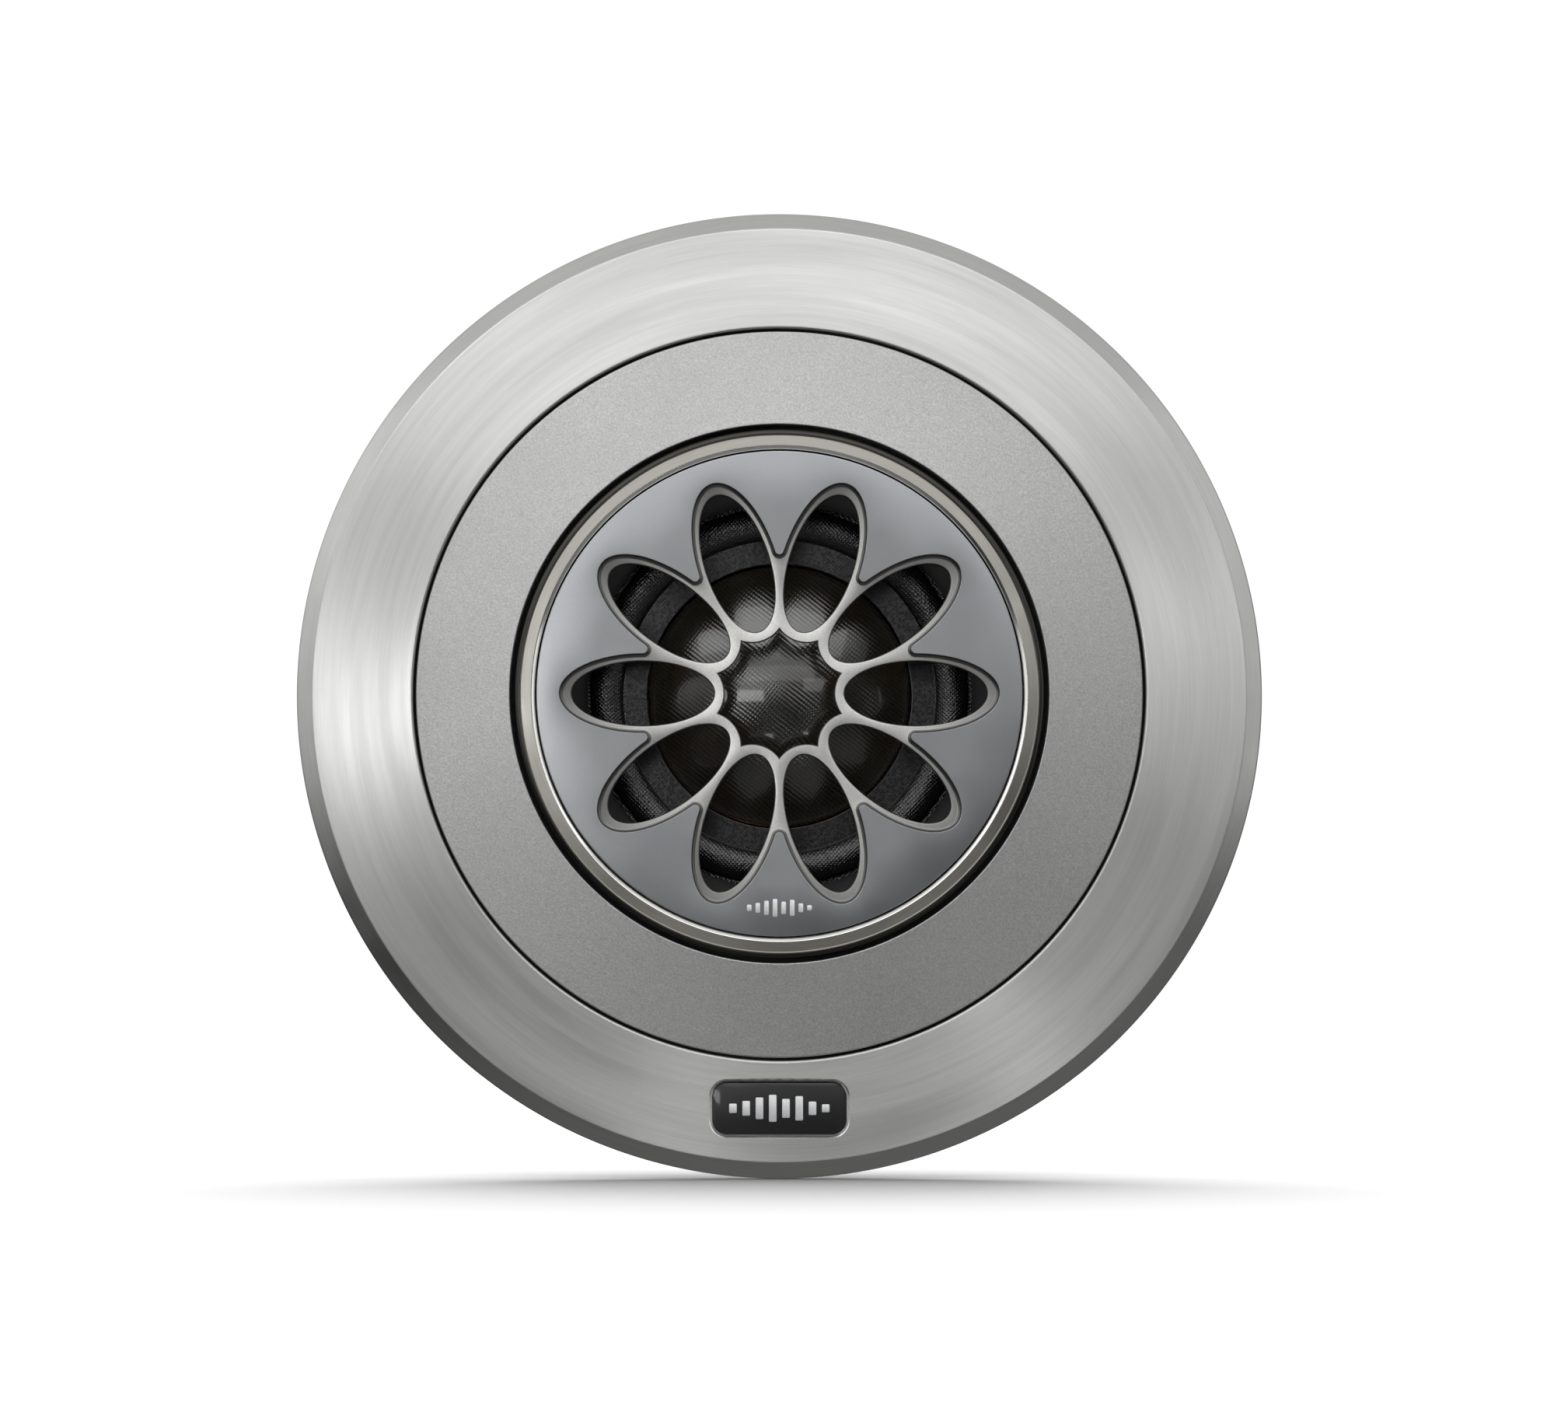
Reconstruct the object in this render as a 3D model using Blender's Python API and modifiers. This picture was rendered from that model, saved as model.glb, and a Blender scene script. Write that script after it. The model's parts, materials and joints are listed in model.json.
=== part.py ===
"""Car tweeter: a 28 mm soft dome capsule in a flush-mount cup, behind a wide turned trim ring.

Units are metres. Every part is drawn about the tweeter's own axis with its local +Z pointing
forward, out of the dashboard or door, and one empty turns that axis to the world's -Y. Heights are
measured along the axis from the face of the panel that the tweeter is screwed up against.
"""

import math

import bmesh
import bpy

# ---- Clearances ---------------------------------------------------------------------------
SEAT_GAP = 0.0003  # between two pieces that rest on, or fit inside, each other
GRILLE_SEAM = 0.00015  # fine visible seam between the grille and its bezel
BADGE_SEAM = 0.0002
CAPSULE_GAP = 0.00055  # open groove between the capsule and the face ring
COIL_GAP = 0.00045  # magnetic gap on each side of the coil
CUT_OVERRUN = 0.001  # how far a cutter passes through the wall it cuts

# ---- Smoothness of round parts -----------------------------------------------------------
RING_STEPS = 48
CORE_STEPS = 32
SCREW_STEPS = 12

# ---- Panel gasket and mounting cup --------------------------------------------------------
GASKET_THICKNESS = 0.0008
GASKET_WIDTH = 0.0055
CUP_FLANGE_THICKNESS = 0.0015
CUP_LEDGE_WIDTH = 0.0018  # how far the cup's flange reaches in past the neck's bore
NECK_WALL = 0.0032
NECK_DEPTH = 0.0140  # behind the panel's face

# ---- Trim ring ------------------------------------------------------------------------------
TRIM_WIDTH = 0.0127  # from its bore to its rim
TRIM_CHAMFER_WIDTH = 0.0018
TRIM_CHAMFER_DROP = 0.0016
TRIM_SKIRT_WALL = 0.0010
TRIM_SKIRT_LIFT = 0.0002  # the skirt stops short of the panel
TRIM_INNER_HEIGHT = 0.0055
TRIM_FACE_DROP = 0.0016
TRIM_EDGE_BREAK = 0.0003

# ---- Face ring --------------------------------------------------------------------------------
FACE_RING_WIDTH = 0.01015
FACE_RING_INNER_HEIGHT = 0.0065
FACE_RING_DROP = 0.0013
FACE_RING_EDGE_BREAK = 0.00015

# ---- Badge --------------------------------------------------------------------------------------
BADGE_WIDTH = 0.0144
BADGE_HEIGHT = 0.0056
BADGE_CORNER = 0.0016
BADGE_INSET = 0.0051  # from the trim ring's bore to the middle of the badge
BADGE_THICKNESS = 0.0005
BADGE_RECESS = 0.0004  # how far its face lies under the trim ring's face

# ---- Capsule front: bezel and grille ------------------------------------------------------
SEAL_THICKNESS = 0.0005
BEZEL_OVERHANG = 0.0023  # how far it reaches out past the housing
BEZEL_WALL = 0.00215
BEZEL_FRONT = 0.0071
BEZEL_SHOULDER = 0.0007  # radius taken off its outer edge
BEZEL_SHOULDER_DROP = 0.0008
BEZEL_INNER_BREAK = 0.00035
BEZEL_LEDGE_WIDTH = 0.00215
BEZEL_LEDGE_THICKNESS = 0.0011
GRILLE_THICKNESS = 0.0018
GRILLE_POCKET_DEPTH = 0.0008

# ---- Flower of openings in the grille -----------------------------------------------------
PETALS = 10
PETAL_INNER_END = 0.00697  # from the axis to where each petal starts
PETAL_HALF_WIDTH = 0.00345
PETAL_POINTS = 24
POCKET_RIM_WIDTH = 0.00247  # of flat face, from the pocket's outer end to the grille's edge
POCKET_END_MARGIN = 0.00126  # between a petal's outer end and the pocket's wall
POCKET_SIDE_MARGIN = 0.00075
POCKET_NOTCH_RADIUS = 0.00054  # rounding of the wall between two petals
POCKET_ARC_POINTS = 9
POCKET_NOTCH_POINTS = 4
STAR_INNER_RADIUS = 0.00584  # where each scallop comes nearest the axis
STAR_TIP_RADIUS = 0.00683
STAR_ARC_POINTS = 5

# ---- Capsule body ---------------------------------------------------------------------------
HOUSING_WALL = 0.0014
HOUSING_OVERLAP = 0.0030  # how far the housing reaches past the yoke's rim
LOCK_RING_LENGTH = 0.0036
LOCK_RING_WALL = 0.0016
LOCK_RING_SLOTS = 4
LOCK_SLOT_WIDTH = 0.0030
LOCK_SLOT_DEPTH = 0.0012
WAVEGUIDE_LIP = 0.0010
WAVEGUIDE_THROAT_MARGIN = 0.0003

# ---- Diaphragm --------------------------------------------------------------------------------
DOME_RADIUS = 0.0137
DOME_RISE = 0.0050
DOME_CLEARANCE = 0.0015  # from the dome's crown to the back of the grille
DOME_THICKNESS = 0.00035
DOME_SKIRT_LENGTH = 0.0012
DOME_ARC_POINTS = 6
SURROUND_THICKNESS = 0.0003
SURROUND_COLLAR_WIDTH = 0.00255
SURROUND_ROLL_WIDTH = 0.0036
SURROUND_FLANGE_WIDTH = 0.0021
SURROUND_MARGIN = 0.0020  # from the surround's edge to the housing's bore
SURROUND_RISE = 0.0015
SURROUND_ARC_POINTS = 6
DIAPHRAGM_RING_THICKNESS = 0.0015
DIAPHRAGM_RING_MARGIN = 0.0002  # round the outside of the surround's roll
FORMER_THICKNESS = 0.0002
FORMER_LENGTH = 0.0058
FORMER_TOP_DROP = 0.0005  # the former starts this far under the dome's rim
WINDING_THICKNESS = 0.00045
WINDING_LENGTH = 0.0026
WINDING_LIFT = 0.0006  # from the former's end to the winding

# ---- Motor ------------------------------------------------------------------------------------
YOKE_WALL = 0.0044
YOKE_RIM_THICKNESS = 0.0020
YOKE_BASE_THICKNESS = 0.0035
POLE_PLATE_THICKNESS = 0.0020
POLE_PLATE_DROP = 0.0013  # the plate's top lies this far under the yoke's rim
MAGNET_THICKNESS = 0.0040
MAGNET_STEP = 0.0005  # the magnet is this much smaller in radius than the plate
VENT_RADIUS = 0.0035
POLE_FELT_THICKNESS = 0.0013
POLE_FELT_MARGIN = 0.0013

# ---- Rear chamber -----------------------------------------------------------------------------
CAN_WALL = 0.0014
CAN_LIP_WIDTH = 0.0059
CAN_LIP_THICKNESS = 0.0025
REAR_FELT_THICKNESS = 0.0026
REAR_AIR_GAP = 0.0005  # between the yoke and the felt
COVER_THICKNESS = 0.0020
COVER_WINDOW = (0.0150, 0.0042)

# ---- Terminals --------------------------------------------------------------------------------
BOARD_SIZE = (0.0226, 0.0084)
BOARD_CORNER = 0.0012
BOARD_THICKNESS = 0.0016
BLADE_WIDTHS = {"positive": 0.0048, "negative": 0.0028}
BLADE_SIDES = {"positive": -1, "negative": 1}  # which way along X each blade stands
BLADE_THICKNESS = 0.0008
BLADE_SPREAD = 0.0040  # from the axis to the middle of each blade
BLADE_REACH = 0.0066  # behind the board
BLADE_INNER_REACH = 0.0014  # in front of the cover's inner face
BLADE_TIP_TAPER = 0.0006
RIVET_RADIUS = 0.0009
RIVET_HEAD_RADIUS = 0.0016
RIVET_HEAD_HEIGHT = 0.0006
RIVET_SPREAD = 0.0092

# ---- Lead wires -------------------------------------------------------------------------------
LEAD_RADIUS = 0.00025
LEAD_PASSAGE = 0.0007  # radius of the holes that let it through
LEAD_END_GAP = 0.00035  # from the coil's outside to the lead's end

# ---- Screws -------------------------------------------------------------------------------------
SCREW_SHANK_RADIUS = 0.0010
SCREW_HEAD_RADIUS = 0.0019
SCREW_HEAD_HEIGHT = 0.0011
SCREW_SOCKET_RADIUS = 0.0007
SCREW_SOCKET_DEPTH = 0.0005
SCREW_BITE = 0.0014  # how far a screw goes into the ring it holds
TRIM_SCREW_INSET = 0.0025  # from the trim ring's bore
FACE_SCREW_INSET = 0.0035  # from the face ring's edge
COVER_SCREW_INSET = 0.0027  # from the can's bore
SCREWS_PER_RING = 4

# ---- Panel nut --------------------------------------------------------------------------------
NUT_PANEL_SPACE = 0.0060  # room that it leaves for the panel as stored
NUT_LENGTH = 0.0050
NUT_WIDTH = 0.0074  # from the neck to halfway up a lobe
NUT_LOBES = 10
NUT_LOBE_HEIGHT = 0.0012
NUT_POINTS_PER_LOBE = 8

# ---- Radii worked out from the dome outwards ------------------------------------------------
DOME_SKIRT_RADIUS = DOME_RADIUS + DOME_THICKNESS
SURROUND_BORE = DOME_SKIRT_RADIUS + SEAT_GAP
SURROUND_ROLL_INNER = SURROUND_BORE + SURROUND_COLLAR_WIDTH
SURROUND_ROLL_OUTER = SURROUND_ROLL_INNER + SURROUND_ROLL_WIDTH
SURROUND_RADIUS = SURROUND_ROLL_OUTER + SURROUND_FLANGE_WIDTH
WAVEGUIDE_THROAT_RADIUS = SURROUND_ROLL_OUTER + WAVEGUIDE_THROAT_MARGIN
DIAPHRAGM_RING_BORE = SURROUND_ROLL_OUTER + DIAPHRAGM_RING_MARGIN
HOUSING_BORE = SURROUND_RADIUS + SURROUND_MARGIN
HOUSING_RADIUS = HOUSING_BORE + HOUSING_WALL
CORE_RADIUS = HOUSING_BORE - SEAT_GAP  # of all that slides into the housing
WAVEGUIDE_MOUTH_RADIUS = CORE_RADIUS - WAVEGUIDE_LIP
BEZEL_OUTER_RADIUS = HOUSING_RADIUS + BEZEL_OVERHANG
BEZEL_BORE = BEZEL_OUTER_RADIUS - BEZEL_WALL
GRILLE_RADIUS = BEZEL_BORE - GRILLE_SEAM
NECK_BORE_RADIUS = HOUSING_RADIUS + LOCK_RING_WALL + 2 * SEAT_GAP
NECK_RADIUS = NECK_BORE_RADIUS + NECK_WALL
CUP_LEDGE_BORE = NECK_BORE_RADIUS - CUP_LEDGE_WIDTH
FACE_RING_BORE = BEZEL_OUTER_RADIUS + CAPSULE_GAP
FACE_RING_RADIUS = FACE_RING_BORE + FACE_RING_WIDTH
TRIM_BORE_RADIUS = FACE_RING_RADIUS + SEAT_GAP
TRIM_OUTER_RADIUS = TRIM_BORE_RADIUS + TRIM_WIDTH
TRIM_FACE_RADIUS = TRIM_OUTER_RADIUS - TRIM_CHAMFER_WIDTH
TRIM_SKIRT_BORE = TRIM_OUTER_RADIUS - TRIM_SKIRT_WALL
BADGE_RADIUS = TRIM_BORE_RADIUS + BADGE_INSET
CUP_FLANGE_RADIUS = TRIM_SKIRT_BORE - SEAT_GAP
TRIM_SCREW_RADIUS = TRIM_BORE_RADIUS + TRIM_SCREW_INSET
FACE_SCREW_RADIUS = FACE_RING_RADIUS - FACE_SCREW_INSET
NUT_MEAN_RADIUS = NECK_RADIUS + NUT_WIDTH

FORMER_RADIUS = DOME_RADIUS - SEAT_GAP
FORMER_BORE = FORMER_RADIUS - FORMER_THICKNESS
WINDING_BORE = FORMER_RADIUS + SEAT_GAP
WINDING_RADIUS = WINDING_BORE + WINDING_THICKNESS
POLE_PLATE_RADIUS = FORMER_BORE - COIL_GAP
YOKE_BORE = WINDING_RADIUS + COIL_GAP
YOKE_RADIUS = YOKE_BORE + YOKE_WALL
CAN_BORE = CORE_RADIUS - CAN_WALL
CAN_LIP_BORE = CAN_BORE - CAN_LIP_WIDTH
COVER_SCREW_RADIUS = CAN_BORE - COVER_SCREW_INSET
LEAD_RISE_RADIUS = (YOKE_RADIUS + CAN_BORE) / 2

# ---- Heights worked out from the panel forward, then from the dome back -----------------
CUP_FLANGE_BACK = GASKET_THICKNESS + SEAT_GAP
CUP_FLANGE_FRONT = CUP_FLANGE_BACK + CUP_FLANGE_THICKNESS
RINGS_BACK = CUP_FLANGE_FRONT + SEAT_GAP
SEAL_FRONT = RINGS_BACK + SEAL_THICKNESS
BEZEL_BACK = SEAL_FRONT + SEAT_GAP
GRILLE_BACK = BEZEL_BACK + BEZEL_LEDGE_THICKNESS + SEAT_GAP
GRILLE_FRONT = GRILLE_BACK + GRILLE_THICKNESS
GRILLE_FLOOR = GRILLE_FRONT - GRILLE_POCKET_DEPTH
HOUSING_FRONT = BEZEL_BACK - SEAT_GAP
DOME_CROWN = GRILLE_BACK - DOME_CLEARANCE
DOME_RIM = DOME_CROWN - DOME_RISE
SURROUND_FRONT = DOME_RIM - DOME_THICKNESS
SURROUND_FOOT = SURROUND_FRONT - SURROUND_THICKNESS
WAVEGUIDE_BACK = SURROUND_FRONT + SEAT_GAP
DIAPHRAGM_RING_FRONT = SURROUND_FOOT - SEAT_GAP
DIAPHRAGM_RING_BACK = DIAPHRAGM_RING_FRONT - DIAPHRAGM_RING_THICKNESS
FORMER_TOP = DOME_RIM - FORMER_TOP_DROP
FORMER_END = FORMER_TOP - FORMER_LENGTH
WINDING_BACK = FORMER_END + WINDING_LIFT
YOKE_RIM_FRONT = DIAPHRAGM_RING_BACK - SEAT_GAP
YOKE_RIM_BACK = YOKE_RIM_FRONT - YOKE_RIM_THICKNESS
POLE_PLATE_FRONT = YOKE_RIM_FRONT - POLE_PLATE_DROP
POLE_PLATE_BACK = POLE_PLATE_FRONT - POLE_PLATE_THICKNESS
MAGNET_FRONT = POLE_PLATE_BACK - SEAT_GAP
MAGNET_BACK = MAGNET_FRONT - MAGNET_THICKNESS
YOKE_FLOOR = MAGNET_BACK - SEAT_GAP
YOKE_BACK = YOKE_FLOOR - YOKE_BASE_THICKNESS
HOUSING_BACK = YOKE_RIM_BACK - HOUSING_OVERLAP
CAN_FRONT = YOKE_RIM_BACK - SEAT_GAP
REAR_FELT_FRONT = YOKE_BACK - REAR_AIR_GAP
REAR_FELT_BACK = REAR_FELT_FRONT - REAR_FELT_THICKNESS
CAN_LIP_FRONT = REAR_FELT_BACK - SEAT_GAP
CAN_BACK = CAN_LIP_FRONT - CAN_LIP_THICKNESS
COVER_FRONT = CAN_BACK - SEAT_GAP
COVER_BACK = COVER_FRONT - COVER_THICKNESS
BOARD_FRONT = COVER_BACK - SEAT_GAP
BOARD_BACK = BOARD_FRONT - BOARD_THICKNESS
NUT_FRONT = -NUT_PANEL_SPACE
NUT_BACK = NUT_FRONT - NUT_LENGTH

# ---- The flower's petals, between the star and the flat rim -----------------------------
PETAL_OUTER_END = GRILLE_RADIUS - POCKET_RIM_WIDTH - POCKET_END_MARGIN
PETAL_CENTRE_RADIUS = (PETAL_INNER_END + PETAL_OUTER_END) / 2
PETAL_HALF_LENGTH = (PETAL_OUTER_END - PETAL_INNER_END) / 2

FULL_TURN = 2 * math.pi
PETAL_PITCH = FULL_TURN / PETALS


def trim_face_height(radius):
    """Height of the trim ring's sloping face at this distance from the axis."""
    slope = TRIM_FACE_DROP / (TRIM_FACE_RADIUS - TRIM_BORE_RADIUS)
    return TRIM_INNER_HEIGHT - slope * (radius - TRIM_BORE_RADIUS)


# ---- Scene and materials --------------------------------------------------------------------
def clear_scene():
    for obj in list(bpy.data.objects):
        bpy.data.objects.remove(obj, do_unlink=True)


def new_collection(name):
    collection = bpy.data.collections.new(name)
    bpy.context.scene.collection.children.link(collection)
    return collection


def finish(name, colour, roughness, metallic=0.0):
    """A Principled BSDF material of one colour."""
    material = bpy.data.materials.new(name)
    material.use_nodes = True
    shader = material.node_tree.nodes["Principled BSDF"]
    shader.inputs["Base Color"].default_value = (*colour, 1.0)
    shader.inputs["Roughness"].default_value = roughness
    shader.inputs["Metallic"].default_value = metallic
    return material


clear_scene()
TWEETER = new_collection("car_tweeter")
CUTTERS = new_collection("cutters")

BRUSHED_ALUMINIUM = finish("brushed_aluminium", (0.78, 0.78, 0.76), 0.32, 1.0)
BEAD_BLASTED_GREY = finish("bead_blasted_grey", (0.47, 0.47, 0.46), 0.60, 0.6)
SATIN_GREY = finish("satin_grey", (0.33, 0.33, 0.33), 0.42, 0.8)
POLISHED_ALUMINIUM = finish("polished_aluminium", (0.74, 0.74, 0.70), 0.20, 1.0)
BLACK_ENAMEL = finish("black_enamel", (0.01, 0.01, 0.01), 0.25)
BLACK_NYLON = finish("black_nylon", (0.03, 0.03, 0.03), 0.55)
BLACK_ANODISED = finish("black_anodised", (0.03, 0.03, 0.035), 0.40, 0.6)
BLACK_RUBBER = finish("black_rubber", (0.02, 0.02, 0.02), 0.80)
COATED_SILK = finish("coated_silk", (0.06, 0.06, 0.05), 0.40)
GREY_FELT = finish("grey_felt", (0.25, 0.25, 0.24), 0.95)
ZINC_STEEL = finish("zinc_steel", (0.60, 0.60, 0.58), 0.35, 1.0)
NICKELLED_MAGNET = finish("nickelled_magnet", (0.70, 0.69, 0.66), 0.15, 1.0)
ALUMINIUM_FOIL = finish("aluminium_foil", (0.80, 0.80, 0.80), 0.30, 1.0)
COPPER_WIRE = finish("copper_wire", (0.72, 0.36, 0.18), 0.30, 1.0)
TIN_PLATE = finish("tin_plate", (0.75, 0.74, 0.70), 0.25, 1.0)
FIBRE_BOARD = finish("fibre_board", (0.05, 0.05, 0.045), 0.70)

# The tweeter's axis: its local +Z is the world's -Y, and its local +Y is up.
AXIS = bpy.data.objects.new("tweeter_axis", None)
AXIS.rotation_euler = (math.pi / 2, 0.0, 0.0)
TWEETER.objects.link(AXIS)

# What moves with the voice coil hangs from its own empty on the same axis.
COIL_AXIS = bpy.data.objects.new("voice_coil_axis", None)
COIL_AXIS.parent = AXIS
TWEETER.objects.link(COIL_AXIS)


# ---- Shape tools --------------------------------------------------------------------------------
def place(name, data, material, parent, collection):
    """A new object for this mesh or curve, hung from the parent."""
    obj = bpy.data.objects.new(name, data)
    if material:
        data.materials.append(material)
    obj.parent = parent
    collection.objects.link(obj)
    return obj


def as_cutter(obj):
    """Marks an object as a helper, which is left out of the model."""
    TWEETER.objects.unlink(obj)
    CUTTERS.objects.link(obj)
    obj.hide_render = True
    obj.display_type = "WIRE"
    return obj


def turned(name, profile, material=None, parent=AXIS, steps=RING_STEPS, closed=True, at=(0, 0)):
    """A part turned about its local Z from a profile of (radius, height) points.

    The profile runs down the outer side. An open one starts and ends on the axis.
    """
    mesh = bpy.data.meshes.new(name)
    outline = bmesh.new()
    corners = [outline.verts.new((radius, 0.0, height)) for radius, height in profile]
    for start, end in zip(corners, corners[1:]):
        outline.edges.new((start, end))
    if closed:
        outline.edges.new((corners[-1], corners[0]))
    outline.to_mesh(mesh)
    outline.free()
    obj = place(name, mesh, material, parent, TWEETER)
    obj.location = (*at, 0.0)
    screw = obj.modifiers.new("turn", "SCREW")
    screw.axis = "Z"
    screw.angle = FULL_TURN
    screw.steps = steps
    screw.render_steps = steps
    screw.use_merge_vertices = True
    screw.merge_threshold = 0.000001
    screw.use_smooth_shade = True
    return obj


def ring(name, bore, radius, back, front, material, **options):
    """A plain turned ring with square edges."""
    profile = [(radius, front), (radius, back), (bore, back), (bore, front)]
    return turned(name, profile, material, **options)


def plate(name, outlines, back, front, material=None, parent=AXIS, at=(0, 0), turn=0.0):
    """A flat plate: closed 2D outlines, filled between, from one height to the other."""
    curve = bpy.data.curves.new(name, "CURVE")
    curve.dimensions = "2D"
    curve.fill_mode = "BOTH"
    curve.extrude = (front - back) / 2
    for outline in outlines:
        spline = curve.splines.new("POLY")
        spline.points.add(len(outline) - 1)
        for point, (x, y) in zip(spline.points, outline):
            point.co = (x, y, 0.0, 1.0)
        spline.use_cyclic_u = True
    drawn = place(name + "_outline", curve, None, parent, TWEETER)
    drawn.location = (*at, (front + back) / 2)
    drawn.rotation_euler = (0.0, 0.0, turn)
    return as_mesh(drawn, name, material, parent)


def as_mesh(drawn, name, material, parent):
    """Turns a curve object into a welded mesh object in the same place."""
    bpy.context.view_layer.update()
    evaluated = drawn.evaluated_get(bpy.context.evaluated_depsgraph_get())
    mesh = bpy.data.meshes.new_from_object(evaluated)
    body = bmesh.new()
    body.from_mesh(mesh)
    bmesh.ops.remove_doubles(body, verts=body.verts, dist=0.000001)
    bmesh.ops.recalc_face_normals(body, faces=body.faces)
    body.to_mesh(mesh)
    body.free()
    mesh.materials.clear()
    obj = place(name, mesh, material, parent, TWEETER)
    obj.location = drawn.location
    obj.rotation_euler = drawn.rotation_euler
    bpy.data.objects.remove(drawn)
    return obj


def cut(obj, *cutters):
    """Takes each cutter out of the object with a Boolean."""
    for cutter in cutters:
        boolean = obj.modifiers.new("cut_" + cutter.name, "BOOLEAN")
        boolean.operation = "DIFFERENCE"
        boolean.object = cutter


def around(radius, count, start=0.0):
    """Evenly spaced (x, y) places on a circle, with the angle of each."""
    for index in range(count):
        angle = start + FULL_TURN * index / count
        yield (radius * math.cos(angle), radius * math.sin(angle)), angle


def circle(radius, points):
    return [point for point, _ in around(radius, points)]


def circle_at(centre, radius, points=SCREW_STEPS):
    return [(centre[0] + x, centre[1] + y) for x, y in circle(radius, points)]


def rounded_rectangle(width, height, corner, points_per_corner=5):
    """The outline of a rectangle with round corners, centred on the origin."""
    outline = []
    corners = ((1, 1, 0.0), (-1, 1, 0.25), (-1, -1, 0.5), (1, -1, 0.75))
    for side_x, side_y, start in corners:
        middle_x = side_x * (width / 2 - corner)
        middle_y = side_y * (height / 2 - corner)
        for step in range(points_per_corner):
            angle = FULL_TURN * (start + 0.25 * step / (points_per_corner - 1))
            outline.append(
                (middle_x + corner * math.cos(angle), middle_y + corner * math.sin(angle))
            )
    return outline


def turned_outline(points, angle):
    """2D points turned about the origin."""
    cosine, sine = math.cos(angle), math.sin(angle)
    return [(x * cosine - y * sine, x * sine + y * cosine) for x, y in points]


# ---- The flower ---------------------------------------------------------------------------------
def petal_point(t, half_length, half_width):
    """A point on the ellipse of the petal that lies along +X."""
    return (PETAL_CENTRE_RADIUS + half_length * math.cos(t), half_width * math.sin(t))


def petal_outline():
    return [
        petal_point(FULL_TURN * i / PETAL_POINTS, PETAL_HALF_LENGTH, PETAL_HALF_WIDTH)
        for i in range(PETAL_POINTS)
    ]


def notch_centre(t, half_length, half_width):
    """The centre of a circle that touches the ellipse from outside at t."""
    x, y = petal_point(t, half_length, half_width)
    normal_x, normal_y = math.cos(t) / half_length, math.sin(t) / half_width
    scale = POCKET_NOTCH_RADIUS / math.hypot(normal_x, normal_y)
    return x + normal_x * scale, y + normal_y * scale


def pocket_outline():
    """The joined outline of ten wider petals, with the points of wall between them rounded."""
    half_length = PETAL_HALF_LENGTH + POCKET_END_MARGIN
    half_width = PETAL_HALF_WIDTH + POCKET_SIDE_MARGIN
    between = PETAL_PITCH / 2
    low, high = math.pi / 4, math.pi  # where the touching circle crosses the line between petals
    for _ in range(50):
        touch = (low + high) / 2
        x, y = notch_centre(touch, half_length, half_width)
        if math.atan2(y, x) < between:
            low = touch
        else:
            high = touch
    centre_x, centre_y = notch_centre(touch, half_length, half_width)
    touch_x, touch_y = petal_point(touch, half_length, half_width)
    start = math.atan2(touch_y - centre_y, touch_x - centre_x)
    sweep = 2 * (between + math.pi - (start % FULL_TURN))
    outline = []
    for petal in range(PETALS):
        points = [
            petal_point(touch * (2 * i / (POCKET_ARC_POINTS - 1) - 1), half_length, half_width)
            for i in range(POCKET_ARC_POINTS)
        ]
        for i in range(1, POCKET_NOTCH_POINTS):
            angle = start + sweep * i / POCKET_NOTCH_POINTS
            points.append(
                (
                    centre_x + POCKET_NOTCH_RADIUS * math.cos(angle),
                    centre_y + POCKET_NOTCH_RADIUS * math.sin(angle),
                )
            )
        outline += turned_outline(points, petal * PETAL_PITCH)
    return outline


def star_outline():
    """The middle opening: ten inward scallops that meet in points between the petals."""
    tip_x = STAR_TIP_RADIUS * math.cos(PETAL_PITCH / 2)
    tip_y = STAR_TIP_RADIUS * math.sin(PETAL_PITCH / 2)
    centre = (STAR_TIP_RADIUS**2 - STAR_INNER_RADIUS**2) / (2 * (tip_x - STAR_INNER_RADIUS))
    radius = centre - STAR_INNER_RADIUS
    half_sweep = math.atan2(tip_y, centre - tip_x)
    outline = []
    for petal in range(PETALS):
        points = []
        for i in range(STAR_ARC_POINTS):
            angle = math.pi + half_sweep * (1 - 2 * i / STAR_ARC_POINTS)
            points.append((centre + radius * math.cos(angle), radius * math.sin(angle)))
        outline += turned_outline(points, petal * PETAL_PITCH)
    return outline


# ---- Screws -------------------------------------------------------------------------------------
def screw_socket(name, at, bottom, top):
    """A hexagonal key socket, as a cutter."""
    return as_cutter(plate(name, [circle(SCREW_SOCKET_RADIUS, 6)], bottom, top, at=at))


def countersunk_screw(name, at, back, tip):
    """A screw driven in from behind, its flat head flush with the back."""
    profile = [
        (0.0, tip),
        (SCREW_SHANK_RADIUS, tip),
        (SCREW_SHANK_RADIUS, back + SCREW_HEAD_HEIGHT),
        (SCREW_HEAD_RADIUS, back),
        (0.0, back),
    ]
    screw = turned(name, profile, ZINC_STEEL, steps=SCREW_STEPS, closed=False, at=at)
    cut(screw, screw_socket(name + "_socket", at, back - CUT_OVERRUN, back + SCREW_SOCKET_DEPTH))
    return screw


def countersink(name, at, back, tip):
    """The hole for a countersunk screw, as a cutter with a gap all round the screw."""
    gap = SEAT_GAP
    profile = [
        (0.0, tip + gap),
        (SCREW_SHANK_RADIUS + gap, tip + gap),
        (SCREW_SHANK_RADIUS + gap, back + SCREW_HEAD_HEIGHT + gap),
        (SCREW_HEAD_RADIUS + gap, back + gap),
        (SCREW_HEAD_RADIUS + gap, back - CUT_OVERRUN),
        (0.0, back - CUT_OVERRUN),
    ]
    return as_cutter(turned(name, profile, steps=SCREW_STEPS, closed=False, at=at))


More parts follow.
